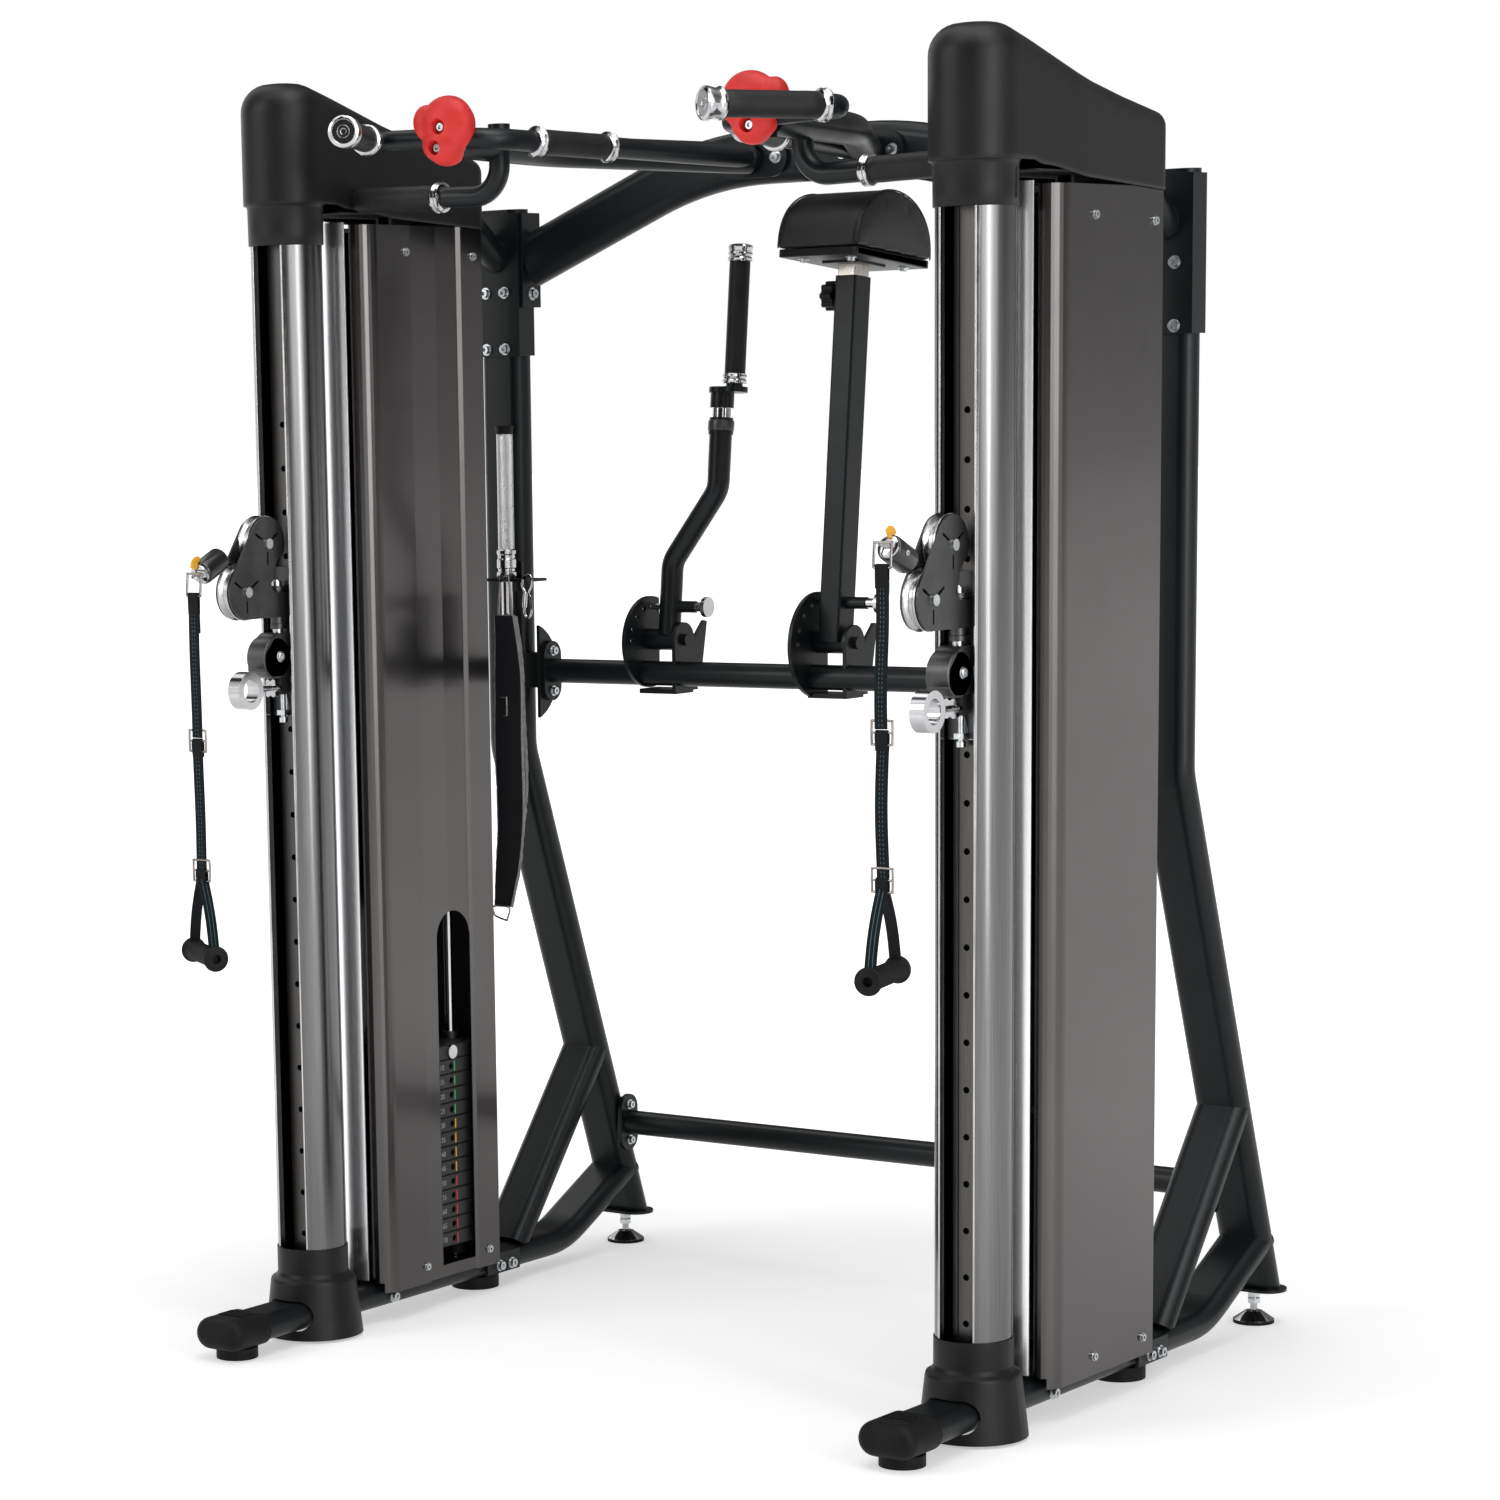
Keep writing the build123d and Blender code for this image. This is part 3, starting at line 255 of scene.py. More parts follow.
    # red resin hold with gritty surface
    t = NT("resin").set(Metallic=0.0)
    t.link(t.ramp(t.noise(28, 5), [(0.25, (0.50, 0.0085, 0.0070)), (0.8, (0.66, 0.016, 0.012))]), "Base Color")
    t.link(t.rng(t.noise(200, 3), 0.46, 0.64), "Roughness")
    t.set(Subsurface_Weight=0.06, Subsurface_Radius=(0.004, 0.001, 0.001))
    t.bump(t.math("ADD", t.noise(900, 4), t.voronoi(500)), 0.32, 0.0005)
    M["resin"] = t.m
    # woven webbing; its colour follows the weave's relief: painted shade in the hollows
    t = NT("webbing").set(Metallic=0.0, Specular_IOR_Level=0.1, Sheen_Weight=0.03, Sheen_Roughness=0.5, Roughness=0.85)
    s = t.xyz()
    wz = t.math("SINE", t.math("MULTIPLY", s[2], 2600.0))
    wx = t.math("SINE", t.math("MULTIPLY", t.math("ADD", s[0], s[1]), 3600.0))
    wv = t.math("MULTIPLY", wz, wx)
    t.link(t.ramp(t.rng(wv, 0, 1, -1, 1), [(0.2, (0.003, 0.0035, 0.004)), (0.8, (0.016, 0.017, 0.020))]), "Base Color")
    t.bump(wv, 0.6, 0.0005)
    M["webbing"] = t.m
    # teal sewing thread
    t = NT("thread").set(Metallic=0.0, Roughness=0.6, Sheen_Weight=0.2)
    t.link(t.ramp(t.noise(900, 3), [(0.3, (0.012, 0.085, 0.105)), (0.7, (0.030, 0.150, 0.180))]), "Base Color")
    t.bump(t.noise(1800, 2), 0.3, 0.0003)
    M["thread"] = t.m
    # grained leatherette
    t = NT("leather").set(Metallic=0.0, Specular_IOR_Level=0.26)
    g1 = t.voronoi(420, "DISTANCE_TO_EDGE")
    t.link(t.ramp(t.noise(12, 4), [(0.3, (0.0040, 0.0040, 0.0042)), (0.75, (0.0080, 0.0080, 0.0083))]), "Base Color")
    t.link(t.rng(t.noise(40, 5), 0.36, 0.50), "Roughness")
    t.bump(t.math("ADD", t.math("MULTIPLY", g1, 1.6), t.math("MULTIPLY", t.noise(1500, 3), 0.4)), 0.32, 0.0007)
    M["leather"] = t.m
    # grey fleece
    t = NT("fleece").set(Metallic=0.0, Roughness=0.95, Sheen_Weight=0.8, Sheen_Roughness=0.4)
    t.link(t.ramp(t.noise(240, 5), [(0.25, (0.22, 0.22, 0.225)), (0.8, (0.50, 0.50, 0.50))]), "Base Color")
    t.bump(t.math("ADD", t.noise(700, 6, 0.8), t.voronoi(520)), 1.0, 0.0022)
    M["fleece"] = t.m
    # plain sheet-like plastic colours, and a near-black matte colour that paints shade into slits, grooves, holes and
    # under the cover
    for nm, c, r in (("yellow", (0.85, 0.42, 0.01), 0.42), ("white", (0.34, 0.34, 0.33), 0.5), ("green", (0.05, 0.42, 0.12), 0.5),
                     ("redmark", (0.62, 0.03, 0.03), 0.5), ("gloss_black", (0.010, 0.010, 0.011), 0.22), ("painted_shade", (0.002, 0.002, 0.002), 0.9)):
        t = NT(nm).set(Metallic=0.0, Roughness=r)
        d = tuple(x * 0.86 for x in c)
        t.link(t.ramp(t.noise(130, 3), [(0.3, d), (0.7, c)]), "Base Color")
        t.bump(t.noise(700, 3), 0.15, 0.0003)
        M[nm] = t.m
    # satin inner post, slightly warm
    t = NT("slider").set(Metallic=1.0)
    v = t.map((400, 400, 5.0))
    g = t.noise(3, 3, vec=v)
    t.link(t.ramp(g, [(0.3, (0.46, 0.42, 0.38)), (0.7, (0.62, 0.58, 0.54))]), "Base Color")
    t.link(t.rng(g, 0.2, 0.36), "Roughness")
    t.bump(g, 0.08, 0.0003, 0.0006)
    M["slider"] = t.m
    # knurled chrome; its colour follows the knurl relief: painted shade in the grooves, painted highlight on the crests
    t = NT("knurl").set(Metallic=1.0)
    s = t.xyz()
    ang = t.math("ARCTAN2", t.math("ADD", s[1], -0.234955), t.math("ADD", s[0], 0.612))
    a1 = t.math("SINE", t.math("ADD", t.math("MULTIPLY", ang, 34.0), t.math("MULTIPLY", s[2], 2200.0)))
    a2 = t.math("SINE", t.math("SUBTRACT", t.math("MULTIPLY", ang, 34.0), t.math("MULTIPLY", s[2], 2200.0)))
    k = t.math("MAXIMUM", a1, a2)
    t.link(t.ramp(t.rng(k, 0, 1, -1, 1), [(0.2, (0.30, 0.30, 0.31)), (0.9, (0.78, 0.78, 0.79))]), "Base Color")
    t.link(t.rng(t.noise(60, 3), 0.22, 0.36), "Roughness")
    t.bump(k, 0.7, 0.0006)
    M["knurl"] = t.m
    return M


M = make_materials()


# ------------------------------------------------------------------ mesh helpers (millimetres in, metres out)
def obj(name, verts, faces, mat, body, smooth=True, mats=None, fmat=None, split=None):
    me = bpy.data.meshes.new(name)
    me.from_pydata([(float(v[0]) * MM, (float(v[1]) - Y0) * MM, float(v[2]) * MM) for v in verts], [], faces)
    me.update()
    bmn = bmesh.new()
    bmn.from_mesh(me)
    bmesh.ops.recalc_face_normals(bmn, faces=bmn.faces[:])
    bmn.to_mesh(me)
    bmn.free()
    for m_ in (mats or [mat]):
        me.materials.append(M[m_])
    if fmat is not None:
        for p, i in zip(me.polygons, fmat):
            p.material_index = i
    if smooth:
        me.polygons.foreach_set("use_smooth", [True] * len(me.polygons))
    o = bpy.data.objects.new(name, me)
    SC.collection.objects.link(o)
    if split:
        md = o.modifiers.new("edges", "EDGE_SPLIT")
        md.split_angle = math.radians(split)
    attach(o, body)
    return o


class Mesh:
    """Collects several parts, each with its own material, into one object."""

    def __init__(self):
        self.v, self.f, self.m, self.names = [], [], [], []

    def add(self, verts, faces, mat):
        if mat not in self.names:
            self.names.append(mat)
        k = len(self.v)
        self.v += [tuple(v) for v in verts]
        self.f += [tuple(i + k for i in f) for f in faces]
        self.m += [self.names.index(mat)] * len(faces)
        return self

    def build(self, name, body, slot=None, smooth=True, split=35):
        return obj(name, self.v, self.f, None, body, smooth, self.names, self.m, split)


def frame_of(d, hint=(0, 0, 1)):
    d = Vector(d).normalized()
    h = Vector(hint)
    if abs(d.dot(h.normalized())) > 0.98:
        h = Vector((1, 0, 0)) if abs(d.x) < 0.9 else Vector((0, 1, 0))
    u = d.cross(h).normalized()
    return u, u.cross(d).normalized(), d


def lathe(p, q, prof, n=40):
    """prof: (distance along p->q in mm, radius). Closed if it starts and ends on radius 0."""
    p, q = Vector(p), Vector(q)
    u, w, d = frame_of(q - p)
    vs, fs = [], []
    for t, r in prof:
        for i in range(n):
            a = 2 * math.pi * i / n
            vs.append(p + d * t + (u * math.cos(a) + w * math.sin(a)) * max(r, 0.01))
    for j in range(len(prof) - 1):
        for i in range(n):
            a, b = j * n + i, j * n + (i + 1) % n
            fs.append((a, b, b + n, a + n))
    fs.append(tuple(range(n))[::-1])
    k = (len(prof) - 1) * n
    fs.append(tuple(range(k, k + n)))
    return vs, fs


def catmull(pts, per=8, closed=False):
    P = [Vector(p) for p in pts]
    out = []
    n = len(P)
    rng = range(n) if closed else range(n - 1)
    for i in rng:
        p0 = P[(i - 1) % n] if closed or i > 0 else P[0] * 2 - P[1]
        p1, p2 = P[i], P[(i + 1) % n]
        p3 = P[(i + 2) % n] if closed or i + 2 < n else P[-1] * 2 - P[-2]
        for k in range(per):
            t = k / per
            out.append(0.5 * ((2 * p1) + (p2 - p0) * t + (2 * p0 - 5 * p1 + 4 * p2 - p3) * t * t + (3 * p1 - p0 - 3 * p2 + p3) * t ** 3))
    if not closed:
        out.append(P[-1])
    return out


def sweep(pts, sec, closed=False, hint=(0, 0, 1), cap=True):
    """Sweeps a closed section (list of (u, w) in mm) along points, carrying the frame along."""
    P = [Vector(p) for p in pts]
    n, m = len(P), len(sec)
    vs, fs = [], []
    u = None
    for i in range(n):
        if closed:
            d = (P[(i + 1) % n] - P[i - 1]).normalized()
        else:
            d = (P[min(i + 1, n - 1)] - P[max(i - 1, 0)]).normalized()
        if u is None:
            u, w, _ = frame_of(d, hint)
        else:
            u = (u - d * u.dot(d)).normalized()
            w = u.cross(d).normalized()
        for a, b in sec:
            vs.append(P[i] + u * a + w * b)
    for j in range(n if closed else n - 1):
        for i in range(m):
            a, b = j * m + i, j * m + (i + 1) % m
            c, e = ((j + 1) % n) * m + (i + 1) % m, ((j + 1) % n) * m + i
            fs.append((a, b, c, e))
    if not closed and cap:
        fs.append(tuple(range(m))[::-1])
        fs.append(tuple(range((n - 1) * m, n * m)))
    return vs, fs


def circle(r, n=14):
    return [(r * math.cos(2 * math.pi * i / n), r * math.sin(2 * math.pi * i / n)) for i in range(n)]


def rrect(w, h, r, n=4):
    out = []
    for cx, cy, a0 in ((w / 2 - r, h / 2 - r, 0), (-w / 2 + r, h / 2 - r, 90), (-w / 2 + r, -h / 2 + r, 180), (w / 2 - r, -h / 2 + r, 270)):
        for i in range(n + 1):
            a = math.radians(a0 + 90 * i / n)
            out.append((cx + r * math.cos(a), cy + r * math.sin(a)))
    return out


def boxm(x0, x1, y0, y1, z0, z1, c=1.0):
    """Box with chamfered edges."""
    bm = bmesh.new()
    bmesh.ops.create_cube(bm, size=1)
    for v in bm.verts:
        v.co = Vector((x0 if v.co.x < 0 else x1, y0 if v.co.y < 0 else y1, z0 if v.co.z < 0 else z1))
    bmesh.ops.bevel(bm, geom=bm.edges[:], offset=c, segments=2, affect="EDGES", profile=0.6)
    vs = [tuple(v.co) for v in bm.verts]
    fs = [tuple(v.index for v in f.verts) for f in bm.faces]
    bm.free()
    return vs, fs


def side_fn(s):
    return lambda x, y, z: (s * (A + x), y, z)


def T(vs, s):
    """Tower-local to row frame for side s; the caller flips the faces when s is -1."""
    return [(s * (A + v[0]), v[1], v[2]) for v in vs]


def F(fs, s):
    return fs if s > 0 else [tuple(reversed(f)) for f in fs]


# ------------------------------------------------------------------ finishes of the CAD nodes
def dress(node, mat, rules=(), split=32):
    """Gives a CAD node its finish. rules: (function of the face centre in mm, material)."""
    o = NODES[node]
    o.data.materials.clear()
    o.data.materials.append(M[mat])
    for _, m_ in rules:
        o.data.materials.append(M[m_])
    if rules:
        for p in o.data.polygons:
            c = p.center * 1000.0 + Vector((0, Y0, 0))
            p.material_index = 0
            for i, (fn, _) in enumerate(rules):
                if fn(c.x, c.y, c.z):
                    p.material_index = i + 1
                    break
    o.data.polygons.foreach_set("use_smooth", [True] * len(o.data.polygons))
    if split:
        md = o.modifiers.new("edges", "EDGE_SPLIT")
        md.split_angle = math.radians(split)
    return o


for n_ in ("base_rails", "rear_leg_left", "rear_leg_right", "arch_beam", "top_links", "mid_crossbar", "lower_crossbar", "pullup_bars", "attachment_brackets", "trainer_arm", "pad_post"):
    dress(n_, "paint")
_L = math.radians(5.7)


def _ring(x, y, z):
    s_ = (y - 598) * math.sin(_L) + (z - 1144) * math.cos(_L)
    d_ = math.hypot(x + 219, (y - 598) * math.cos(_L) - (z - 1144) * math.sin(_L))
    return 373.9 < s_ < 390.1 and d_ < 19.5


dress("trainer_handle", "paint", [(_ring, "chrome")])
dress("columns", "anodised", [(lambda x, y, z: abs(abs(x) - A) < 31.5 and y < -38.5, "chrome")])
dress("adjustment_bars", "bar_steel")
dress("base_sleeves", "plastic")
dress("rail_caps_and_glides", "rubber")
dress("front_trims", "silver")
dress("outer_panels", "casing")
dress("inner_panels", "casing")
dress("weight_plates", "plate")
dress("stack_head_left", "plate", [(lambda x, y, z: z < 431 or z > 474, "chrome")])
dress("stack_head_right", "plate", [(lambda x, y, z: z < 431 or z > 474, "chrome")])
dress("guide_rods", "chrome", [(lambda x, y, z: z < 101.5 and abs(math.hypot(abs(x) - A, abs(y - 331) - 65) - 10) > 1, "rubber"), (lambda x, y, z: z > 1837, "bracket")])
dress("lift_cables", "gloss_black")
dress("frame_bolts", "zinc")
dress("pullup_grips", "grip")
dress("trainer_grip", "grip")
dress("pad_slider", "slider", [(lambda x, y, z: (y - 598) * math.sin(_L) + (z - 1144) * math.cos(_L) > 617.5, "plastic")])
dress("pad_knob", "plastic")
for n_ in ("selector_pin_left", "selector_pin_right", "trainer_pin", "pad_pin"):
    dress(n_, "chrome")
for sd in ("left", "right"):
    dress(f"carriage_{sd}", "bracket", [(lambda x, y, z: math.hypot(abs(x) - A, y + 48) < 9.0 and (1186 < z < 1195.9 or 1266.2 < z < 1277), "zinc"), (lambda x, y, z: math.hypot(abs(x) - A, y + 39) < 8.5 and z < 1090, "zinc")])
    dress(f"pulley_arm_{sd}", "bracket", [(lambda x, y, z: abs(abs(x) - A) > 14.9, "zinc")])
    for w_ in ("upper", "lower", "stack"):
        dress(f"{w_}_pulley_{sd}", "machined")
    dress(f"latch_pin_{sd}", "chrome")
    dress(f"levelling_foot_{sd}", "rubber", [(lambda x, y, z: z > 6.5, "chrome")])


# ------------------------------------------------------------------ top covers
def cover(side):
    s = 1 if side == "right" else -1

    def outline(d):
        pts = []
        R = 68.0
        for i in range(25):
            a = math.pi + math.pi * i / 24
            pts.append(((R - d) * math.cos(a), (R - d) * math.sin(a), 0.0))
        ys = np.linspace(10, 430, 22)
        for y in ys:
            w = 68.0 + 3.0 * max(0, min(1, (y - 28) / 160)) - d
            pts.append((w, y, 0))
        rc = max(24 - d, 0.6)
        for i in range(7):
            a = math.pi / 2 * i / 6
            pts.append((71 - d - rc + rc * math.cos(a), 454.8 - d - rc + rc * math.sin(a), 0))
        m = pts[25:]
        pts = pts + [(-x, y, z) for x, y, z in reversed(m)]
        return pts

    def ztop(y):
        xs = [-68, -20, 5, 60, 190, 232, 330, 456]
        zs = [2066, 2068, 2066.5, 2050, 2007, 1996, 1976, 1954]
        return float(np.interp(y, xs, zs))

    def zlow(y):
        return float(np.interp(y, [-68, 52, 66, 104, 193, 441, 456], [1876, 1876, 1870.5, 1869, 1856, 1841.5, 1841]))

    base = outline(0)
    n = len(base)
    rings = []
    inner = outline(3.5)
    rings.append([(inner[i][0], inner[i][1], zlow(base[i][1]) + 6) for i in range(n)])
    rings.append([(outline(1.2)[i][0], outline(1.2)[i][1], zlow(base[i][1]) - 0.4) for i in range(n)])
    rings.append([(base[i][0], base[i][1], zlow(base[i][1]) + 1.4) for i in range(n)])
    side_levels = (0.05, 0.3, 0.6, 0.85)

    def rad(y):
        return float(np.interp(y, [-68, 20, 190, 456], [46, 40, 27, 22]))
    for f in side_levels:
        rings.append([(x, y, zlow(y) + (ztop(y) - rad(y) - zlow(y)) * f) for x, y, _ in base])
    for k in range(0, 9):
        t = k / 8
        ring_ = []
        for i, (x, y, _) in enumerate(base):
            r = rad(y)
            d = r * (1 - math.cos(t * math.pi / 2))
            # inward along the outline normal: interpolate outlines
            o1 = OUT(d, outline)[i]
            ring_.append((o1[0], o1[1], ztop(o1[1]) - r + r * math.sin(t * math.pi / 2)))
        rings.append(ring_)
    last = rings[-1]
    for k in range(1, 6):
        t = k / 6
        ring_ = []
        for i, (x, y, _) in enumerate(base):
            r = rad(y)
            lx, ly, lz = last[i]
            cy = min(max(ly, 0.0), 454.8 - 71)
            nx, ny = lx * (1 - t), ly + (cy - ly) * t
            ring_.append((nx, ny, ztop(ny) + 0.0))
        rings.append(ring_)
    vs = [p for r_ in rings for p in r_]
    fs = []
    for j in range(len(rings) - 1):
        for i in range(n):
            a, b = j * n + i, j * n + (i + 1) % n
            fs.append((a, b, b + n, a + n))
    k0 = (len(rings) - 1) * n
    # close the crown along the centre line
    m = n // 2
    for i in range(12, 12 + 0):
        pass
    half = [(k0 + i) for i in range(n)]
    i0 = 12
    for j in range(0, n // 2 - 1):
        a = half[(i0 + j) % n]; b = half[(i0 + j + 1) % n]
        c = half[(i0 - j - 1) % n]; d_ = half[(i0 - j) % n]
        if len({a, b, c, d_}) >= 3:
            f = []
            for q in (a, b, c, d_):
                if q not in f:
                    f.append(q)
            fs.append(tuple(f))
    me = Mesh().add(T(vs, s), F(fs, s), "plastic")
    # collar with a lip and a moulded slit
    prof = [(0, 58.6), (0.2, 60.3), (1.5, 61.2), (24, 61.4), (58, 61.8), (62, 63.0), (64, 64.5), (66, 66.0), (67.5, 66.2), (67.6, 58.6)]
    v2, f2 = lathe((0, 0, 1812), (0, 0, 1880), prof, 64)
    f2 = f2[:-2] + [tuple((len(prof) - 1) * 64 + q if w == 1 else q for q, w in z_) for z_ in []]
    nn = 64
    kk = (len(prof) - 1) * nn
    for i in range(nn):
        f2.append((kk + i, kk + (i + 1) % nn, (i + 1) % nn, i))
    me.add(T(v2, s), F(f2, s), "plastic")
    # the slit is a near-black box: painted shade standing in for the dark inside the slit
    sl_v, sl_f = boxm(59, 62.2, 8, 10.5, 1822, 1866, 0.4)
    me.add(T(sl_v, s), F(sl_f, s), "painted_shade")
    # near-black sheet under the tail so that the casing tops are capped: painted shade for the inside of the cover
    v3, f3 = boxm(-66, 66, 60, 450, 1862, 1864, 0.5)
    me.add(T(v3, s), F(f3, s), "painted_shade")
    o = me.build(f"cover_{side}", "frame", "moulded_plastic", split=50)
    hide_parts(f"top_cover_{side}")


_oc = {}


def OUT(d, outline):
    key = round(d, 1)
    if key not in _oc:
        _oc[key] = outline(key)
    return _oc[key]


for sd in ("left", "right"):
    _oc.clear()
    cover(sd)


# ------------------------------------------------------------------ pull-up collars, end caps
def collar_prof(L, r0=16.4, R=24.5):
    return [(0, r0), (0.4, 20.5), (L * 0.12, R - 1.0), (L * 0.28, R), (L * 0.42, R - 1.6), (L * 0.5, R - 2.6), (L * 0.58, R - 1.6), (L * 0.72, R), (L * 0.88, R - 1.0), (L - 0.4, 20.5), (L, r0)]


def pt(p, q, d):
    p, q = Vector(p), Vector(q)
    return p + (q - p).normalized() * d


g_in, g_out = (156, 233, 1947), (224, -25, 1959)
e_in, e_out = (447, -12, 1965), (330, -232, 1968)
l_in, l_out = (395.03, 102.08, 1878.77), (566, 99.15, 1882.23)
mc = Mesh()
for s in (1, -1):
    for p, q, a, b in ((g_in, g_out, 1, 17), (g_in, g_out, 145.5, 162.5), (e_in, e_out, 45, 63), (l_in, l_out, -4, 14)):
        P0, P1 = pt(p, q, a), pt(p, q, b)
        v, f = lathe(P0, P1, collar_prof((P1 - P0).length), 48)
        v = [(s * c[0], c[1], c[2]) for c in v]
        mc.add(v, f if s > 0 else [tuple(reversed(x)) for x in f], "chrome")
    P0, P1 = pt(e_in, e_out, 217), pt(e_in, e_out, 253)
    prof = [(0, 16.4), (0.4, 20), (3, 23.2), (6.5, 24.4), (10, 22.6), (14, 21.8), (22, 23.6), (28, 24.8), (32, 24.2), (34, 21.5), (34.6, 19), (32.5, 18), (32.5, 10), (33.5, 9), (33.5, 5), (31, 4), (31, 0)]
    v, f = lathe(P0, P1, prof, 48)
    v = [(s * c[0], c[1], c[2]) for c in v]
    mc.add(v, f if s > 0 else [tuple(reversed(x)) for x in f], "chrome")
o = mc.build("grip_collars_bright", "frame", "chrome", split=40)
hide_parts("grip_collars")
mg = Mesh()
for s in (1, -1):
    for p, q, a, b in ((g_in, g_out, 16, 146.5), (e_in, e_out, 62, 218), (l_in, l_out, 13, 169)):
        P0, P1 = pt(p, q, a), pt(p, q, b)
        L = (P1 - P0).length
        prof = [(0, 16.5), (0.2, 19.0), (1.5, 19.7)] + [(L * k / 8, 19.8 + 0.15 * math.sin(k * 2.1)) for k in range(1, 8)] + [(L - 1.5, 19.7), (L - 0.2, 19.0), (L, 16.5)]
        v, f = lathe(P0, P1, prof, 40)
        v = [(s * c[0], c[1], c[2]) for c in v]
        mg.add(v, f if s > 0 else [tuple(reversed(x)) for x in f], "grip")
o = mg.build("pullup_grips_foam", "frame", "rubber", split=40)
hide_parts("pullup_grips")


# ------------------------------------------------------------------ climbing-style holds
def bake(o):
    dg = bpy.context.evaluated_depsgraph_get()
    me = bpy.data.meshes.new_from_object(o.evaluated_get(dg))
    o.modifiers.clear()
    o.data = me
    return o


def ellipsoid(c, r, rot=0.0):
    bm = bmesh.new()
    bmesh.ops.create_icosphere(bm, subdivisions=4, radius=1.0)
    mr = Matrix.Rotation(rot, 3, "Y")
    vs = [tuple(Vector(c) + mr @ Vector((v.co.x * r[0], v.co.y * r[1], v.co.z * r[2]))) for v in bm.verts]
    fs = [tuple(v.index for v in f.verts) for f in bm.faces]
    bm.free()
    return vs, fs


def hold():
    out = []
    me = Mesh()
    for c, r, rot in (((281, -34, 1986), (46, 30, 40), 0.15), ((287, -34, 1952), (38, 28, 30), 0.0), ((318, -32, 1985), (25, 24, 30), 0.3), ((262, -32, 1978), (30, 25, 36), -0.2), ((284, -30, 1935), (27, 22, 17), 0.0)):
        v, f = ellipsoid(c, r, rot)
        me.add(v, f, "resin")
    o = me.build("hold_right", "frame", "hold_resin", split=None)
    o.parent = None
    o.modifiers.clear()
    md = o.modifiers.new("r", "REMESH"); md.mode = "VOXEL"; md.voxel_size = 0.0022
    md = o.modifiers.new("s", "SMOOTH"); md.iterations = 14; md.factor = 0.6
    cutters = []
    for (x, z, y1, r) in ((289, 1946, -46, 11.5), (279, 1977, -50, 11.5)):
        prof = [(0, r + 7), (22, r + 0.5), (60, r - 1.0)]
        v, f = lathe((x, -84, z), (x, y1, z), [(0, r + 10), (24, r), (-84 * -1 + y1, r - 1.5)], 32)
        c = obj("cut", v, f, "resin", "frame")
        c.parent = None
        cutters.append(c)
        b = o.modifiers.new("b", "BOOLEAN"); b.operation = "DIFFERENCE"; b.object = c; b.solver = "EXACT"
    flat = boxm(200, 400, -7.5, 60, 1850, 2100, 0.5)
    c = obj("cut2", flat[0], flat[1], "resin", "frame")
    c.parent = None
    b = o.modifiers.new("b2", "BOOLEAN"); b.operation = "DIFFERENCE"; b.object = c; b.solver = "EXACT"
    cutters.append(c)
    bpy.context.view_layer.update()
    bake(o)
    for c in cutters:
        bpy.data.objects.remove(c)
    o.data.materials.clear(); o.data.materials.append(M["resin"])
    o.data.polygons.foreach_set("use_smooth", [True] * len(o.data.polygons))
    for p in o.data.polygons:
        p.material_index = 0
    md = o.modifiers.new("edges", "EDGE_SPLIT"); md.split_angle = math.radians(45)
    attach(o, "frame")
    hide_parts("climbing_holds")
    l = bpy.data.objects.new("hold_left", o.data.copy())
    for v in l.data.vertices:
        v.co.x = -v.co.x
    l.data.flip_normals()
    SC.collection.objects.link(l)
    md = l.modifiers.new("edges", "EDGE_SPLIT"); md.split_angle = math.radians(45)
    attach(l, "frame")
    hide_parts("climbing_holds")
    # recessed bolts and a steel mounting tab behind the hold
    mb = Mesh()
    for s in (1, -1):
        for x, z, y in ((289, 1946, -46), (279, 1977, -50)):
            v, f = lathe((s * x, y + 2, z), (s * x, y - 8, z), [(0, 10.4), (1.6, 10.4), (1.8, 7.4), (6.5, 7.2), (8, 6.2), (8, 3.4), (5, 3.2), (5, 0)], 28)
            mb.add(v, f, "zinc")
        v, f = boxm(min(s * 268, s * 310), max(s * 268, s * 310), -9.5, -6.5, 1928, 1992, 1.0)
        mb.add(v, f, "paint")
    mb.build("hold_bolts", "frame", "fastener_steel")


hold()


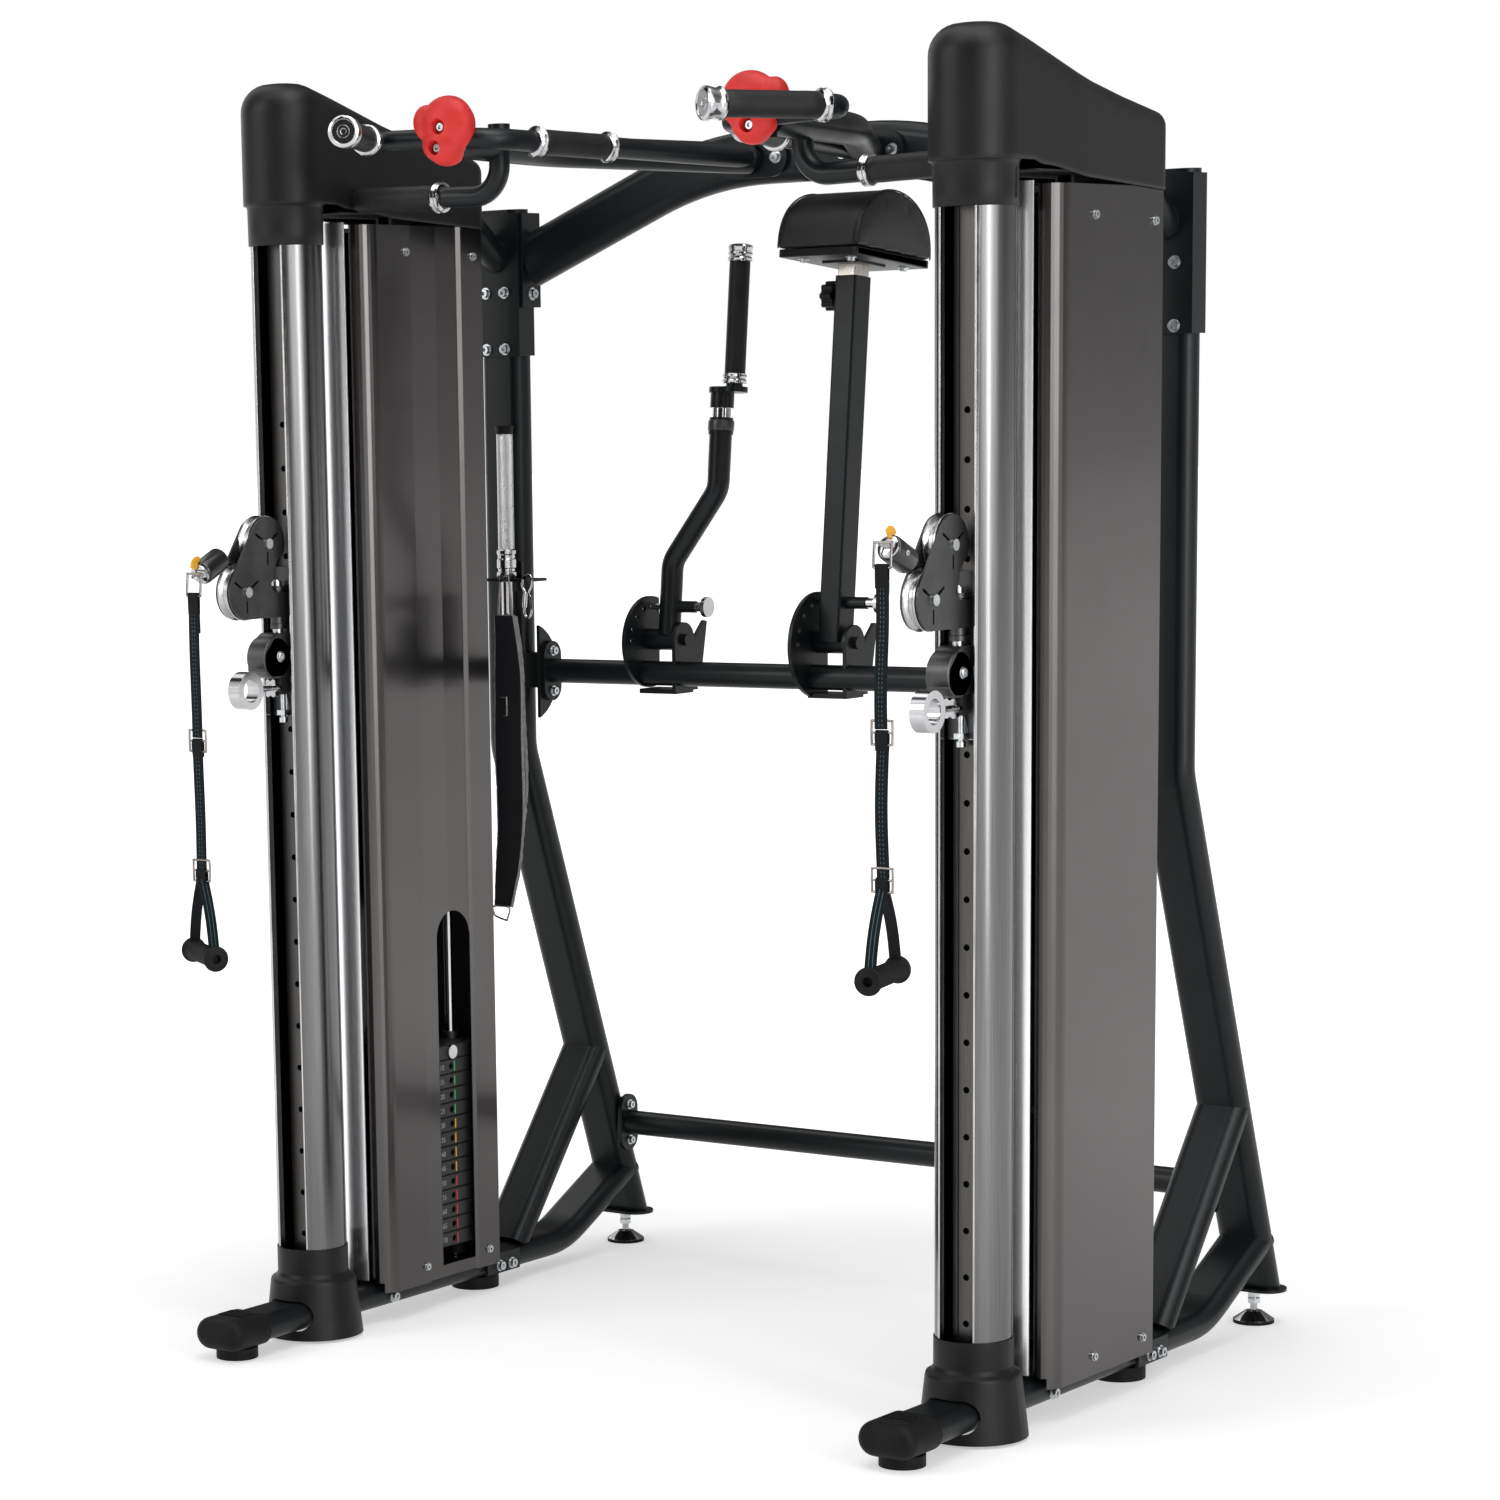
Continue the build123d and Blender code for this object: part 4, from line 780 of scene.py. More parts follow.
# ------------------------------------------------------------------ strap handles, cable stops
def handles(side):
    s = 1 if side == "right" else -1
    tilt = math.radians(24 if side == "right" else -24)
    c, sn = math.cos(tilt), math.sin(tilt)
    B = Vector((0, -188, 1317))
    D = Vector((0, -c, sn))
    arm = f"pulley_arm_{side}"
    me = Mesh()
    prof = [(-1, 0), (-1, 6), (0, 15), (1, 17.6), (3, 19.4), (5, 19.9), (50, 19.9), (53, 19.2), (55, 17.4), (56, 13), (56.2, 0)]
    v, f = lathe(B, B + D * 60, prof, 48)
    me.add(T(v, s), F(f, s), "gloss_black")
    # bright end ferrule and the clip eye
    v, f = lathe(B + D * 53, B + D * 70, [(0, 13), (0.1, 16.4), (2.5, 17.2), (5, 16.5), (6.5, 13.5), (7, 8), (7.4, 0)], 40)
    me.add(T(v, s), F(f, s), "chrome")
    # set screw on the barrel's flank
    side_p = B + D * 34 + Vector((19.2 , 0, 0))
    v, f = lathe(side_p, side_p + Vector((3, 0, 0)), [(0, 4.2), (1.0, 4.2), (1.4, 3.2), (1.0, 1.8), (0.2, 0)], 20)
    me.add(T(v, s), F(f, s), "zinc")
    # cable into the arm
    path = catmull([(0, -150, 1309), (0, -168, 1313), B + D * -2 * 1.0, B + D * 2], 8)
    v, f = sweep(path, circle(2.6, 12))
    me.add(T(v, s), F(f, s), "gloss_black")
    # eye loop at the tip
    E = B + D * 63
    loop = [E + Vector((9 * math.cos(a), 0, 0)) + D * (5 * math.sin(a) + 2) for a in [2 * math.pi * k / 20 for k in range(20)]]
    v, f = sweep(loop, circle(2.4, 10), closed=True)
    me.add(T(v, s), F(f, s), "chrome")
    # yellow tab wrapped over the ferrule
    up = Vector((0, sn, c))
    tab = [B + D * 50 + up * 19.5, B + D * 54 + up * 22.5, B + D * 61 + up * 22, B + D * 67 + up * 15]
    v, f = sweep(catmull(tab, 6), rrect(15, 2.6, 1.0), hint=(1, 0, 0))
    me.add(T(v, s), F(f, s), "yellow")
    o = me.build(f"cable_stop_{side}_look", arm, "rubber", split=40)
    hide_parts(f"cable_stop_{side}")
    # --- strap
    ey = E.y - 11.0
    ez = E.z
    zt = ez - 20
    hb = f"handle_{side}"
    ms = Mesh()
    ring = [(-13, 4), (13, 4), (14, 2), (14, -28), (12, -31), (-12, -31), (-14, -28), (-14, 2)]
    loop = catmull([(x, ey + (2.5 if z > 0 else 0), ez + z) for x, z in ring], 5, True)
    v, f = sweep(loop, circle(2.1, 10), closed=True)
    ms.add(T(v, s), F(f, s), "wire")

    def web(path, w, t, mat="webbing", hint=(1, 0, 0)):
        v, f = sweep(path, rrect(w, t, t * 0.45, 3), hint=hint)
        ms.add(T(v, s), F(f, s), mat)

    def strap(p, q, w=21, t=2.6, off=0.0, wob=1.2):
        p, q = Vector(p), Vector(q)
        n = 26
        path = []
        for k in range(n + 1):
            u = k / n
            c_ = p.lerp(q, u)
            path.append(c_ + Vector((wob * math.sin(u * 5.2 + off), wob * 0.9 * math.sin(u * 4.1 + 1 + off), 0)))
        web(path, t, w, hint=(0, 1, 0)) if False else web(path, w, t, hint=(0, 1, 0))
        # two rows of teal stitches on both faces
        L = (q - p).length
        for fx in (-2.7, 2.7):
            k = 0.012
            while k < 0.985:
                u0, u1 = k, k + 3.0 / L
                a, b = p.lerp(q, u0), p.lerp(q, u1)
                for fy in (-1, 1):
                    wa = Vector((wob * math.sin(u0 * 5.2 + off) + fx, wob * 0.9 * math.sin(u0 * 4.1 + 1 + off) + fy * (t / 2 + 0.12), 0))
                    wb = Vector((wob * math.sin(u1 * 5.2 + off) + fx, wob * 0.9 * math.sin(u1 * 4.1 + 1 + off) + fy * (t / 2 + 0.12), 0))
                    v, f = sweep([a + wa, b + wb], rrect(0.9, 0.6, 0.2, 1), hint=(0, 1, 0))
                    ms.add(T(v, s), F(f, s), "thread")
                k += 6.6 / L

    # loop over the ring, then two layers down to the buckle
    loop = [(0, ey + 2.4, zt - 40), (0, ey + 3.0, zt - 18), (0, ey + 2.4, zt - 8.4), (0, ey, zt - 6.6), (0, ey - 2.4, zt - 8.4), (0, ey - 3.0, zt - 18), (0, ey - 2.4, zt - 40)]
    web(catmull(loop, 5), 20.5, 2.2, hint=(0, 1, 0))
    strap((0, ey - 1.5, zt - 30), (0, ey - 1.5, zt - 238), off=0.4)
    strap((0, ey + 1.5, zt - 30), (0, ey + 1.5, zt - 70), off=0.4, wob=0.4)
    strap((0, ey - 0.5, zt - 246), (0, ey - 0.5, zt - 450), off=1.9)
    for zc, w_, h_ in ((zt - 243, 34, 34), (zt - 453, 34, 34)):
        ring = catmull([(x, ey - 1, zc + z) for x, z in ((-w_ / 2 + 3, h_ / 2), (w_ / 2 - 3, h_ / 2), (w_ / 2, h_ / 2 - 3), (w_ / 2, -h_ / 2 + 3), (w_ / 2 - 3, -h_ / 2), (-w_ / 2 + 3, -h_ / 2), (-w_ / 2, -h_ / 2 + 3), (-w_ / 2, h_ / 2 - 3))], 4, True)
        v, f = sweep(ring, circle(1.9, 10), closed=True)
        ms.add(T(v, s), F(f, s), "wire")
        v, f = sweep([(-w_ / 2, ey - 1, zc), (w_ / 2, ey - 1, zc)], circle(1.7, 10))
        ms.add(T(v, s), F(f, s), "wire")
    # folds of webbing over each buckle bar
    for zc in (zt - 243, zt - 453):
        web(catmull([(0, ey + 1.6, zc - 26), (0, ey + 2.8, zc - 8), (0, ey + 1.4, zc + 1), (0, ey - 2.2, zc + 2.6), (0, ey - 4.6, zc - 6), (0, ey - 2.4, zc - 26)], 5), 20.5, 2.0, hint=(0, 1, 0))
    hx, hy = (0.833, -0.552) if side == "left" else (0.228, -0.973)
    if side == "left":
        hx = -hx
    zg = zt - 590
    H = Vector((hx, hy, 0))
    top = Vector((0, ey, zt - 462))
    nrm = Vector((-hy, hx, 0))
    for e in (-1, 1):
        end = Vector((0, ey, zg)) + H * (e * 57)
        n_ = 18
        path = []
        for k in range(n_ + 1):
            u = k / n_
            path.append(top.lerp(end + Vector((0, 0, 15)), u) + H * (e * 9 * math.sin(u * math.pi)))
        w2, t2 = 18, 2.4
        v, f = sweep(path, rrect(w2, t2, 1.0, 3), hint=tuple(H))
        # the section's wide side lies square to the handle
        ms.add(T(v, s), F(f, s), "webbing")
        for k in range(1, n_ * 2):
            u0, u1 = k / (n_ * 2), k / (n_ * 2) + 0.028
            if u1 > 0.98:
                break
            a = top.lerp(end + Vector((0, 0, 15)), u0) + H * (e * 9 * math.sin(u0 * math.pi))
            b = top.lerp(end + Vector((0, 0, 15)), u1) + H * (e * 9 * math.sin(u1 * math.pi))
            out = H * (e * 1.35)
            for fx in (-3, 3):
                v, f = sweep([a + out + nrm * fx, b + out + nrm * fx], rrect(1.0, 0.6, 0.2, 1), hint=(0, 1, 0))
                ms.add(T(v, s), F(f, s), "thread")
        # points for a wrap around the handle core, which are not added to the mesh
        wrap = [end + H * (e * 6) * 0 + nrm * (9.6 * math.sin(a)) + Vector((0, 0, 9.6 * math.cos(a))) for a in [2 * math.pi * k / 16 for k in range(16)]]
    o = ms.build(f"handle_webbing_{side}", hb, "webbing", split=40)
    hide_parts(f"handle_strap_{side}")
    mh = Mesh()
    C = Vector((0, ey, zg))
    prof = [(0, 7.5), (0.2, 9.5), (0.6, 18.5), (1.8, 20.2), (4.0, 20.9), (6.0, 20.2), (8.2, 18.0), (10, 16.6), (14, 16.2)]
    nrib = 34
    for k in range(nrib):
        t0 = 16 + (108) * k / nrib
        w = 108 / nrib
        prof += [(t0 + w * 0.12, 15.2), (t0 + w * 0.3, 16.2), (t0 + w * 0.72, 16.2), (t0 + w * 0.92, 15.2)]
    prof += [(126, 16.2), (130, 16.6), (131.8, 18.0), (134, 20.2), (136, 20.9), (138.2, 20.2), (139.4, 18.5), (139.8, 9.5), (140, 7.5), (128, 7.2), (128, 0)]
    prof = [(12, 0), (12, 7.2)] + prof
    v, f = lathe(C - H * 70, C + H * 70, prof, 44)
    mh.add(T(v, s), F(f, s), "rubber")
    o = mh.build(f"handle_tube_{side}", hb, "rubber", split=50)
    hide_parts(f"handle_grip_{side}")


handles("left")
handles("right")


# ------------------------------------------------------------------ arm pad: cloth-filled leather over a board
LEAN = math.radians(5.7)
AX = Vector((0, math.sin(LEAN), math.cos(LEAN)))
AY = Vector((0, math.cos(LEAN), -math.sin(LEAN)))
PO = Vector((28.0, 598 + 634.2 * math.sin(LEAN), 1144 + 634.2 * math.cos(LEAN)))


def pad():
    prof = [(-119, 2), (-119.4, 8)] + [(-119.0 * math.cos(a), 9 + 93.0 * math.sin(a) ** 0.92) for a in [math.pi * i / 30 for i in range(1, 30)]] + [(119.4, 8), (119, 2)]
    n = len(prof)
    xs = [-77, -75.5, -71, -60, -45, -30, -15, 0, 15, 30, 45, 60, 71, 75.5, 77]
    vs, fs = [], []
    for j, x in enumerate(xs):
        e = max(0, (abs(x) - 69) / 8.0)
        k = 1 - 0.045 * e * e
        for y, z in prof:
            vs.append(PO + Vector((x, 0, 0)) + AY * (y * k) + AX * (z * k if z > 5 else z))
    for j in range(len(xs) - 1):
        for i in range(n):
            a, b = j * n + i, j * n + (i + 1) % n
            fs.append((a, b, b + n, a + n))
    fs.append(tuple(range(n))[::-1])
    fs.append(tuple(range((len(xs) - 1) * n, len(xs) * n)))
    o = obj("arm_pad_leather", vs, fs, "leather", "pad_slider")
    o.parent = None
    md = o.modifiers.new("r", "REMESH"); md.mode = "VOXEL"; md.voxel_size = 0.005
    bpy.context.view_layer.update()
    bake(o)
    # fill: hold the underside, let the leather swell a little under pressure
    g = o.vertex_groups.new(name="pin")
    low = []
    for v in o.data.vertices:
        p = Vector(v.co) * 1000 + Vector((0, Y0, 0)) - PO
        if p.dot(AX) < 9:
            low.append(v.index)
    g.add(low, 1.0, "REPLACE")
    rest = [v.co.copy() for v in o.data.vertices]
    c = o.modifiers.new("cloth", "CLOTH")
    cs = c.settings
    cs.quality = 5
    cs.mass = 0.3
    cs.tension_stiffness = cs.compression_stiffness = 60
    cs.shear_stiffness = 30
    cs.bending_stiffness = 6
    cs.use_pressure = True
    cs.uniform_pressure_force = 4.0
    cs.vertex_group_mass = "pin"
    cs.effector_weights.gravity = 0
    c.point_cache.frame_start, c.point_cache.frame_end = 1, 20
    SC.frame_start, SC.frame_end = 1, 20
    for fr in range(1, 21):
        SC.frame_set(fr)
    dg = bpy.context.evaluated_depsgraph_get()
    ev = o.evaluated_get(dg)
    new = [v.co.copy() for v in ev.data.vertices]
    o.modifiers.clear()
    for v, r, w in zip(o.data.vertices, rest, new):
        d = w - r
        if d.length > 0.005:
            d = d.normalized() * 0.005
        v.co = r + d
    SC.frame_set(1)
    md = o.modifiers.new("sub", "SUBSURF"); md.levels = md.render_levels = 1
    bpy.context.view_layer.update()
    bake(o)
    o.data.materials.clear(); o.data.materials.append(M["leather"])
    o.data.polygons.foreach_set("use_smooth", [True] * len(o.data.polygons))
    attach(o, "pad_slider")
    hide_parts("arm_pad")
    # piped seams along both end faces
    ms = Mesh()
    for x in (-72.5, 72.5):
        loop = [PO + Vector((x, 0, 0)) + AY * (y * 0.997) + AX * (z * 0.997) for y, z in prof]
        v, f = sweep(loop, circle(1.3, 10))
        ms.add(v, f, "leather")
    # underside board with edge fold and screws
    v, f = boxm(-74, 74, -113, 113, -12.6, 0.8, 2.0)
    v = [PO + Vector((x, 0, 0)) + AY * y + AX * z for x, y, z in v]
    ms.add(v, f, "plastic")
    for x in (-45, 45):
        for y in (-82, 82):
            P0 = PO + Vector((x, 0, 0)) + AY * y - AX * 12.4
            v, f = lathe(P0, P0 - AX * 8, [(0, 9), (1.4, 9), (1.6, 6.4), (6, 6.0), (7, 4.5), (7, 0)], 24)
            ms.add(v, f, "zinc")
    ms.build("arm_pad_seams", "pad_slider", "pad_leather")


pad()


# ------------------------------------------------------------------ trainer handle trim, lever end caps
def lp(x, s, dy=0.0):
    return Vector((x, 598 + s * math.sin(LEAN) + dy * math.cos(LEAN), 1144 + s * math.cos(LEAN) - dy * math.sin(LEAN)))


mt = Mesh()
tx = -219.0
for a, b in ((430, 447), (633, 650)):
    v, f = lathe(lp(tx + 23, a), lp(tx + 23, b), collar_prof(b - a, 14.2, 21.0), 44)
    mt.add(v, f, "chrome")
v, f = lathe(lp(tx + 23, 648), lp(tx + 23, 668), [(0, 14), (0.5, 18), (4, 20), (9, 21), (12, 19.6), (13.5, 16), (14, 0)], 40)
mt.add(v, f, "chrome")
v, f = lathe(lp(tx, 352), lp(tx, 372), [(0, 19.5), (0.4, 21.8), (4, 22.2), (14, 22.2), (17, 21.6), (18, 20.2)], 40)
mt.add(v, f, "bracket")
mt.build("trainer_trim", "trainer_handle", "chrome")

# ------------------------------------------------------------------ accessories on the left post
bx, by_ = -612.0, 549.0
ma = Mesh()
prof = [(0, 0), (0, 11), (1.5, 12), (13, 12), (14, 10), (206, 10), (206, 16), (208, 17.2), (216, 17.2), (218, 15), (222, 15), (224, 17.0), (238, 17.0), (240, 15.4), (246, 15.4), (248, 17), (254, 17), (256, 14.4)]
v, f = lathe((bx, by_, 1046), (bx, by_, 1302), [(t if t < 204 else t - 2.8 + 0.0, r) for t, r in prof], 48)
ma.add(v, f, "chrome")
v, f = lathe((bx, by_, 1298), (bx, by_, 1498), [(0, 14.0), (1, 14.2)] + [(1 + 198 * k / 20, 14.2) for k in range(1, 20)] + [(199, 14.2), (200, 13.6)], 48)
ma.add(v, f, "knurl")
v, f = lathe((bx, by_, 1497), (bx, by_, 1512), [(0, 14.6), (1, 15.2), (9, 15.2), (11, 16.4), (14, 16.6), (15, 14.5), (15, 0)], 40)
ma.add(v, f, "rubber")
o = ma.build("accessory_bar_look", "frame", "chrome")
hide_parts("accessory_bar")


def ankle():
    sx, sy = -592.0, 515.0
    me = Mesh()
    # a long padded band folded over its ring: two hanging layers that part near the bottom
    for lay, (y0, bulge, ztop_, zbot, xo, bow) in enumerate(((-5.5, -7.0, 1186, 676, 0.0, 15.0), (4.5, 3.0, 1184, 712, 1.0, 9.0))):
        n = 60
        cen = []
        for k in range(n + 1):
            u = k / n
            z = ztop_ + (zbot - ztop_) * u
            w = 17 + 6 * min(1, u * 5) - 5 * max(0, (u - 0.88) / 0.12)
            # hangs straight at first, bows out through the middle, then curls back at the free end
            x = sx + xo + bow * math.sin(u * math.pi) * 0.9 - 12 * max(0, u - 0.55) ** 2 / 0.2 + 1.6 * math.sin(u * 11 + lay)
            y = sy + y0 + bulge * math.sin(u * math.pi) + 1.2 * math.sin(u * 9 + lay)
            tw = 0.35 * math.sin(u * 3.0 + 0.4) * (1 if lay == 0 else 0.7)
            cen.append((x, y, z, w, tw))
        vs, fs = [], []
        for x, y, z, w, tw in cen:
            for dx, dy in rrect(2 * w, 4.6, 2.1, 3):
                vs.append((x + dx * math.cos(tw) - dy * math.sin(tw), y + dx * math.sin(tw) + dy * math.cos(tw), z))
        m = len(rrect(2, 2, 0.5, 3))
        for j in range(n):
            for i in range(m):
                a, b = j * m + i, j * m + (i + 1) % m
                fs.append((a, b, b + m, a + m))
        fs.append(tuple(range(m))[::-1]); fs.append(tuple(range(n * m, (n + 1) * m)))
        me.add(vs, fs, "webbing")
        # fleece lining behind it, its pile fringing out past both edges
        vs, fs = [], []
        q = 28
        back = 3.6 if lay == 0 else -3.6
        for x, y, z, w, tw in cen:
            for i in range(q):
                a = 2 * math.pi * i / q
                r = RNG.uniform(-0.9, 1.1)
                dx = (w + 3.2 + r) * math.copysign(abs(math.cos(a)) ** 0.3, math.cos(a))
                dy = back + (2.3 + 0.5 * r) * math.sin(a)
                vs.append((x + dx * math.cos(tw) - dy * math.sin(tw), y + dx * math.sin(tw) + dy * math.cos(tw), z + RNG.uniform(-1.6, 1.6)))
        for j in range(n):
            for i in range(q):
                a, b = j * q + i, j * q + (i + 1) % q
                fs.append((a, b, b + q, a + q))
        fs.append(tuple(range(q))[::-1]); fs.append(tuple(range(n * q, (n + 1) * q)))
        me.add(vs, fs, "fleece")
    ring = catmull([(sx - 14 + x, sy - 8, 664 + z) for x, z in ((-17, 12), (17, 12), (13, -8), (10, -11), (-12, -5), (-16, 0))], 4, True)
    v, f = sweep(ring, circle(1.7, 10), closed=True)
    me.add(v, f, "wire")
    # a metal ring along the middle
    for zc in (1030,):
        ring = catmull([(sx + x, sy - 15.5, zc + z) for x, z in ((-9, 16), (9, 16), (11, 13), (11, -13), (9, -16), (-9, -16), (-11, -13), (-11, 13))], 4, True)
        v, f = sweep(ring, circle(1.9, 10), closed=True)
        me.add(v, f, "wire")
    ring = catmull([(sx + x, sy, 1221 + z) for x, z in ((-6, 31), (6, 31), (9, 27), (14, -30), (9, -36), (-9, -36), (-14, -30), (-9, 27))], 5, True)
    v, f = sweep(ring, circle(2.0, 10), closed=True)
    me.add(v, f, "wire")
    o = me.build("ankle_strap_look", "ankle_strap", "webbing", split=60)
    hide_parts("ankle_strap")


ankle()

# snap hook hanging on the hook plate's upturned tip
mk = Mesh()
hx_, hy_ = -546.0, 517.0
loop = catmull([(hx_ + x, hy_ + y, 1252 + z) for x, y, z in ((-2, 0, 2), (5, 1, 4), (10, 1, -3), (9, 1, -14), (3, 1, -26), (7, 1, -36), (9, 0, -58), (4, 0, -68), (-3, 0, -66), (-6, 0, -54), (-2, 0, -30), (-9, 0, -16), (-9, 0, -5))], 5, True)
v, f = sweep(loop, circle(2.3, 10), closed=True)
mk.add(v, f, "chrome")
v, f = lathe((hx_ - 6, hy_, 1200), (hx_ - 3, hy_, 1228), [(0, 3.4), (1, 4.0), (26, 4.0), (27, 3.2)], 20)
mk.add(v, f, "chrome")
mk.build("snap_hook", "frame", "chrome")


# ------------------------------------------------------------------ stack labels: generic figures on each plate
def labels():
    for s, sd in ((1, "right"), (-1, "left")):
        me = Mesh()
        digits = []
        for k in range(13):
            z = 101 + k * 25.4 + 12.4
            xi = -50.35
            col = ("green", "yellow", "redmark")[0 if k > 8 else (1 if k > 4 else 2)]
            v, f = boxm(xi - 0.25, xi + 0.25, 338.5, 341.5, z - 9, z + 8, 0.15)
            me.add(T(v, s), F(f, s), col)
            num = 5 * (14 - k)
            txt = str(num)
            cu = bpy.data.curves.new("num", "FONT")
            cu.body = txt
            cu.size = 0.0125
            cu.extrude = 0.0002
            cu.align_x = "CENTER"
            ob = bpy.data.objects.new("num", cu)
            SC.collection.objects.link(ob)
            bpy.context.view_layer.update()
            mm = bpy.data.meshes.new_from_object(ob.evaluated_get(bpy.context.evaluated_depsgraph_get()))
            verts = []
            for v_ in mm.vertices:
                # text x runs along +Y for the left tower's inner face, -Y for the right one's
                yy = 304 + (v_.co.x * 1000) * (1 if s < 0 else -1)
                verts.append((s * (A - 50.4 - v_.co.z * 1000), yy, z - 4.2 + v_.co.y * 1000))
            faces = [tuple(p.vertices) for p in mm.polygons]
            me.add(verts, faces, "white")
            bpy.data.objects.remove(ob)
            bpy.data.curves.remove(cu)
            bpy.data.meshes.remove(mm)
        me.build(f"stack_labels_{sd}", "frame", "plate_iron", split=30)


labels()

# dark rear closure inside each casing, seen through the stack window
for s, sd in ((1, "right"), (-1, "left")):
    me = Mesh()
    v, f = boxm(-60, 60, 434, 436, 60, 1838, 0.3)
    me.add(T(v, s), F(f, s), "plate")
    me.build(f"casing_back_{sd}", "frame", "plate_iron")


# ------------------------------------------------------------------ column slot trims and painted shade along the bar's groove
for s, sd in ((1, "right"), (-1, "left")):
    me = Mesh()
    for x in (-29.4, 29.4):
        path = [(x, -50.2, z) for z in (157, 400, 900, 1400, 1812)]
        v, f = sweep(path, rrect(2.6, 3.0, 0.9, 3))
        me.add(T(v, s), F(f, s), "chrome")
    # near-black strip on the groove's side: painted shade
    v, f = boxm(-14.4, -12.4, -22.5, -21.6, 150, 1840, 0.2)
    me.add(T(v, s), F(f, s), "painted_shade")
    # near-black discs in the latch holes seen end-on: painted shade of the holes
    for k in range(20):
        z = 177 + 71 * k
        v, f = lathe((0, -12.5, z), (0, -20.0, z), [(0, 5.0), (0.2, 5.0), (0.3, 0)], 20)
        me.add(T(v, s), F(f, s), "painted_shade")
    me.build(f"slot_trim_{sd}", "frame", "trim_silver", split=40)

# carriage details: side bolts of the latch housing with washers, and a barrel between them
for s, sd in ((1, "right"), (-1, "left")):
    me = Mesh()
    for sx_ in (-1, 1):
        v, f = lathe((sx_ * 19.0, -66, 1152), (sx_ * 24.5, -66, 1152), [(0, 9.0), (0.8, 9.0), (1.0, 7.4), (3.2, 7.2), (4.2, 6.2), (4.2, 3.4), (1.8, 3.2), (1.8, 0)], 28)
        me.add(T(v, s), F(f, s), "zinc")
    v, f = lathe((-19.0, -74, 1150), (19.0, -74, 1150), [(0, 32.4), (1.4, 34.0), (36.6, 34.0), (38, 32.4)], 64)
    me.add(T(v, s), F(f, s), "bracket")
    me.build(f"carriage_bolts_{sd}", f"carriage_{sd}", "fastener_steel")

# ------------------------------------------------------------------ stage, light and camera
bm = bmesh.new()
bmesh.ops.create_grid(bm, x_segments=2, y_segments=2, size=60)
me = bpy.data.meshes.new("floor")
bm.to_mesh(me); bm.free()
floor = bpy.data.objects.new("floor", me)
floor.location = (0, 0, -0.0005)
SC.collection.objects.link(floor)
t = NT("floor_pale").set(Metallic=0.0, Roughness=0.65, Specular_IOR_Level=0.15)
t.link(t.ramp(t.noise(1.5, 2), [(0.3, (0.86, 0.86, 0.86)), (0.7, (0.88, 0.88, 0.88))]), "Base Color")
s_ = t.xyz()
dist = t.math("SQRT", t.math("ADD", t.math("MULTIPLY", s_[0], s_[0]), t.math("MULTIPLY", s_[1], s_[1])))
# the floor glows: painted light in its emission, weaker near the machine and full from about 3.2 m out, so the floor
# fades into the white backdrop
t.b.inputs["Emission Color"].default_value = (1, 1, 1, 1)
t.link(t.rng(dist, 0.46, 1.0, 0.9, 3.2), "Emission Strength")
me.materials.append(t.m)

w = bpy.data.worlds.new("studio")
SC.world = w
w.use_nodes = True
nt = w.node_tree
nt.nodes.clear()
out = nt.nodes.new("ShaderNodeOutputWorld")
bgc = nt.nodes.new("ShaderNodeBackground"); bgc.inputs[0].default_value = (1, 1, 1, 1); bgc.inputs[1].default_value = 1.0
bge = nt.nodes.new("ShaderNodeBackground"); bge.inputs[1].default_value = 1.0
mixs = nt.nodes.new("ShaderNodeMixShader")
lpn = nt.nodes.new("ShaderNodeLightPath")
tc = nt.nodes.new("ShaderNodeTexCoord")
sep = nt.nodes.new("ShaderNodeSeparateXYZ")
nt.links.new(tc.outputs["Generated"], sep.inputs[0])


def wm(op, a, b=None):
    m = nt.nodes.new("ShaderNodeMath"); m.operation = op
    for i, v in enumerate((a, b)):
        if v is None:
            continue
        if isinstance(v, (int, float)):
            m.inputs[i].default_value = v
        else:
            nt.links.new(v, m.inputs[i])
    return m.outputs[0]


az = wm("ARCTAN2", sep.outputs[0], wm("MULTIPLY", sep.outputs[1], -1.0))
fac = wm("ADD", wm("DIVIDE", az, 2 * math.pi), 0.5)
cr = nt.nodes.new("ShaderNodeValToRGB")
stops = [(-180, 0.35), (-132, 0.10), (-122, 1.7), (-96, 1.5), (-84, 0.06), (-62, 0.05), (-54, 1.7), (-16, 1.7), (-8, 0.04), (42, 0.04), (50, 5.0), (84, 4.6), (102, 0.42), (128, 0.36), (150, 0.55), (180, 0.35)]
el = cr.color_ramp.elements
while len(el) < len(stops):
    el.new(0.5)
for i, (d_, v_) in enumerate(stops):
    el[i].position = (d_ + 180) / 360.0
    el[i].color = (v_, v_, v_ * 1.0, 1)
nt.links.new(fac, cr.inputs[0])
cz = nt.nodes.new("ShaderNodeValToRGB")
el = cz.color_ramp.elements
zs = [(0.0, 1.0), (0.45, 1.0), (0.55, 0.9), (0.8, 0.5), (0.93, 1.5), (1.0, 1.5)]
while len(el) < len(zs):
    el.new(0.5)
for i, (p_, v_) in enumerate(zs):
    el[i].position = p_
    el[i].color = (v_, v_, v_, 1)
nt.links.new(wm("ADD", wm("MULTIPLY", sep.outputs[2], 0.5), 0.5), cz.inputs[0])
mul = nt.nodes.new("ShaderNodeMixRGB"); mul.blend_type = "MULTIPLY"; mul.inputs[0].default_value = 1.0
nt.links.new(cr.outputs[0], mul.inputs[1]); nt.links.new(cz.outputs[0], mul.inputs[2])
nt.links.new(mul.outputs[0], bge.inputs[0])
bgd = nt.nodes.new("ShaderNodeBackground"); bgd.inputs[0].default_value = (1, 1, 1, 1); bgd.inputs[1].default_value = 0.34
mix2 = nt.nodes.new("ShaderNodeMixShader")
nt.links.new(lpn.outputs["Is Camera Ray"], mix2.inputs[0])
nt.links.new(bgd.outputs[0], mix2.inputs[1])
nt.links.new(bgc.outputs[0], mix2.inputs[2])
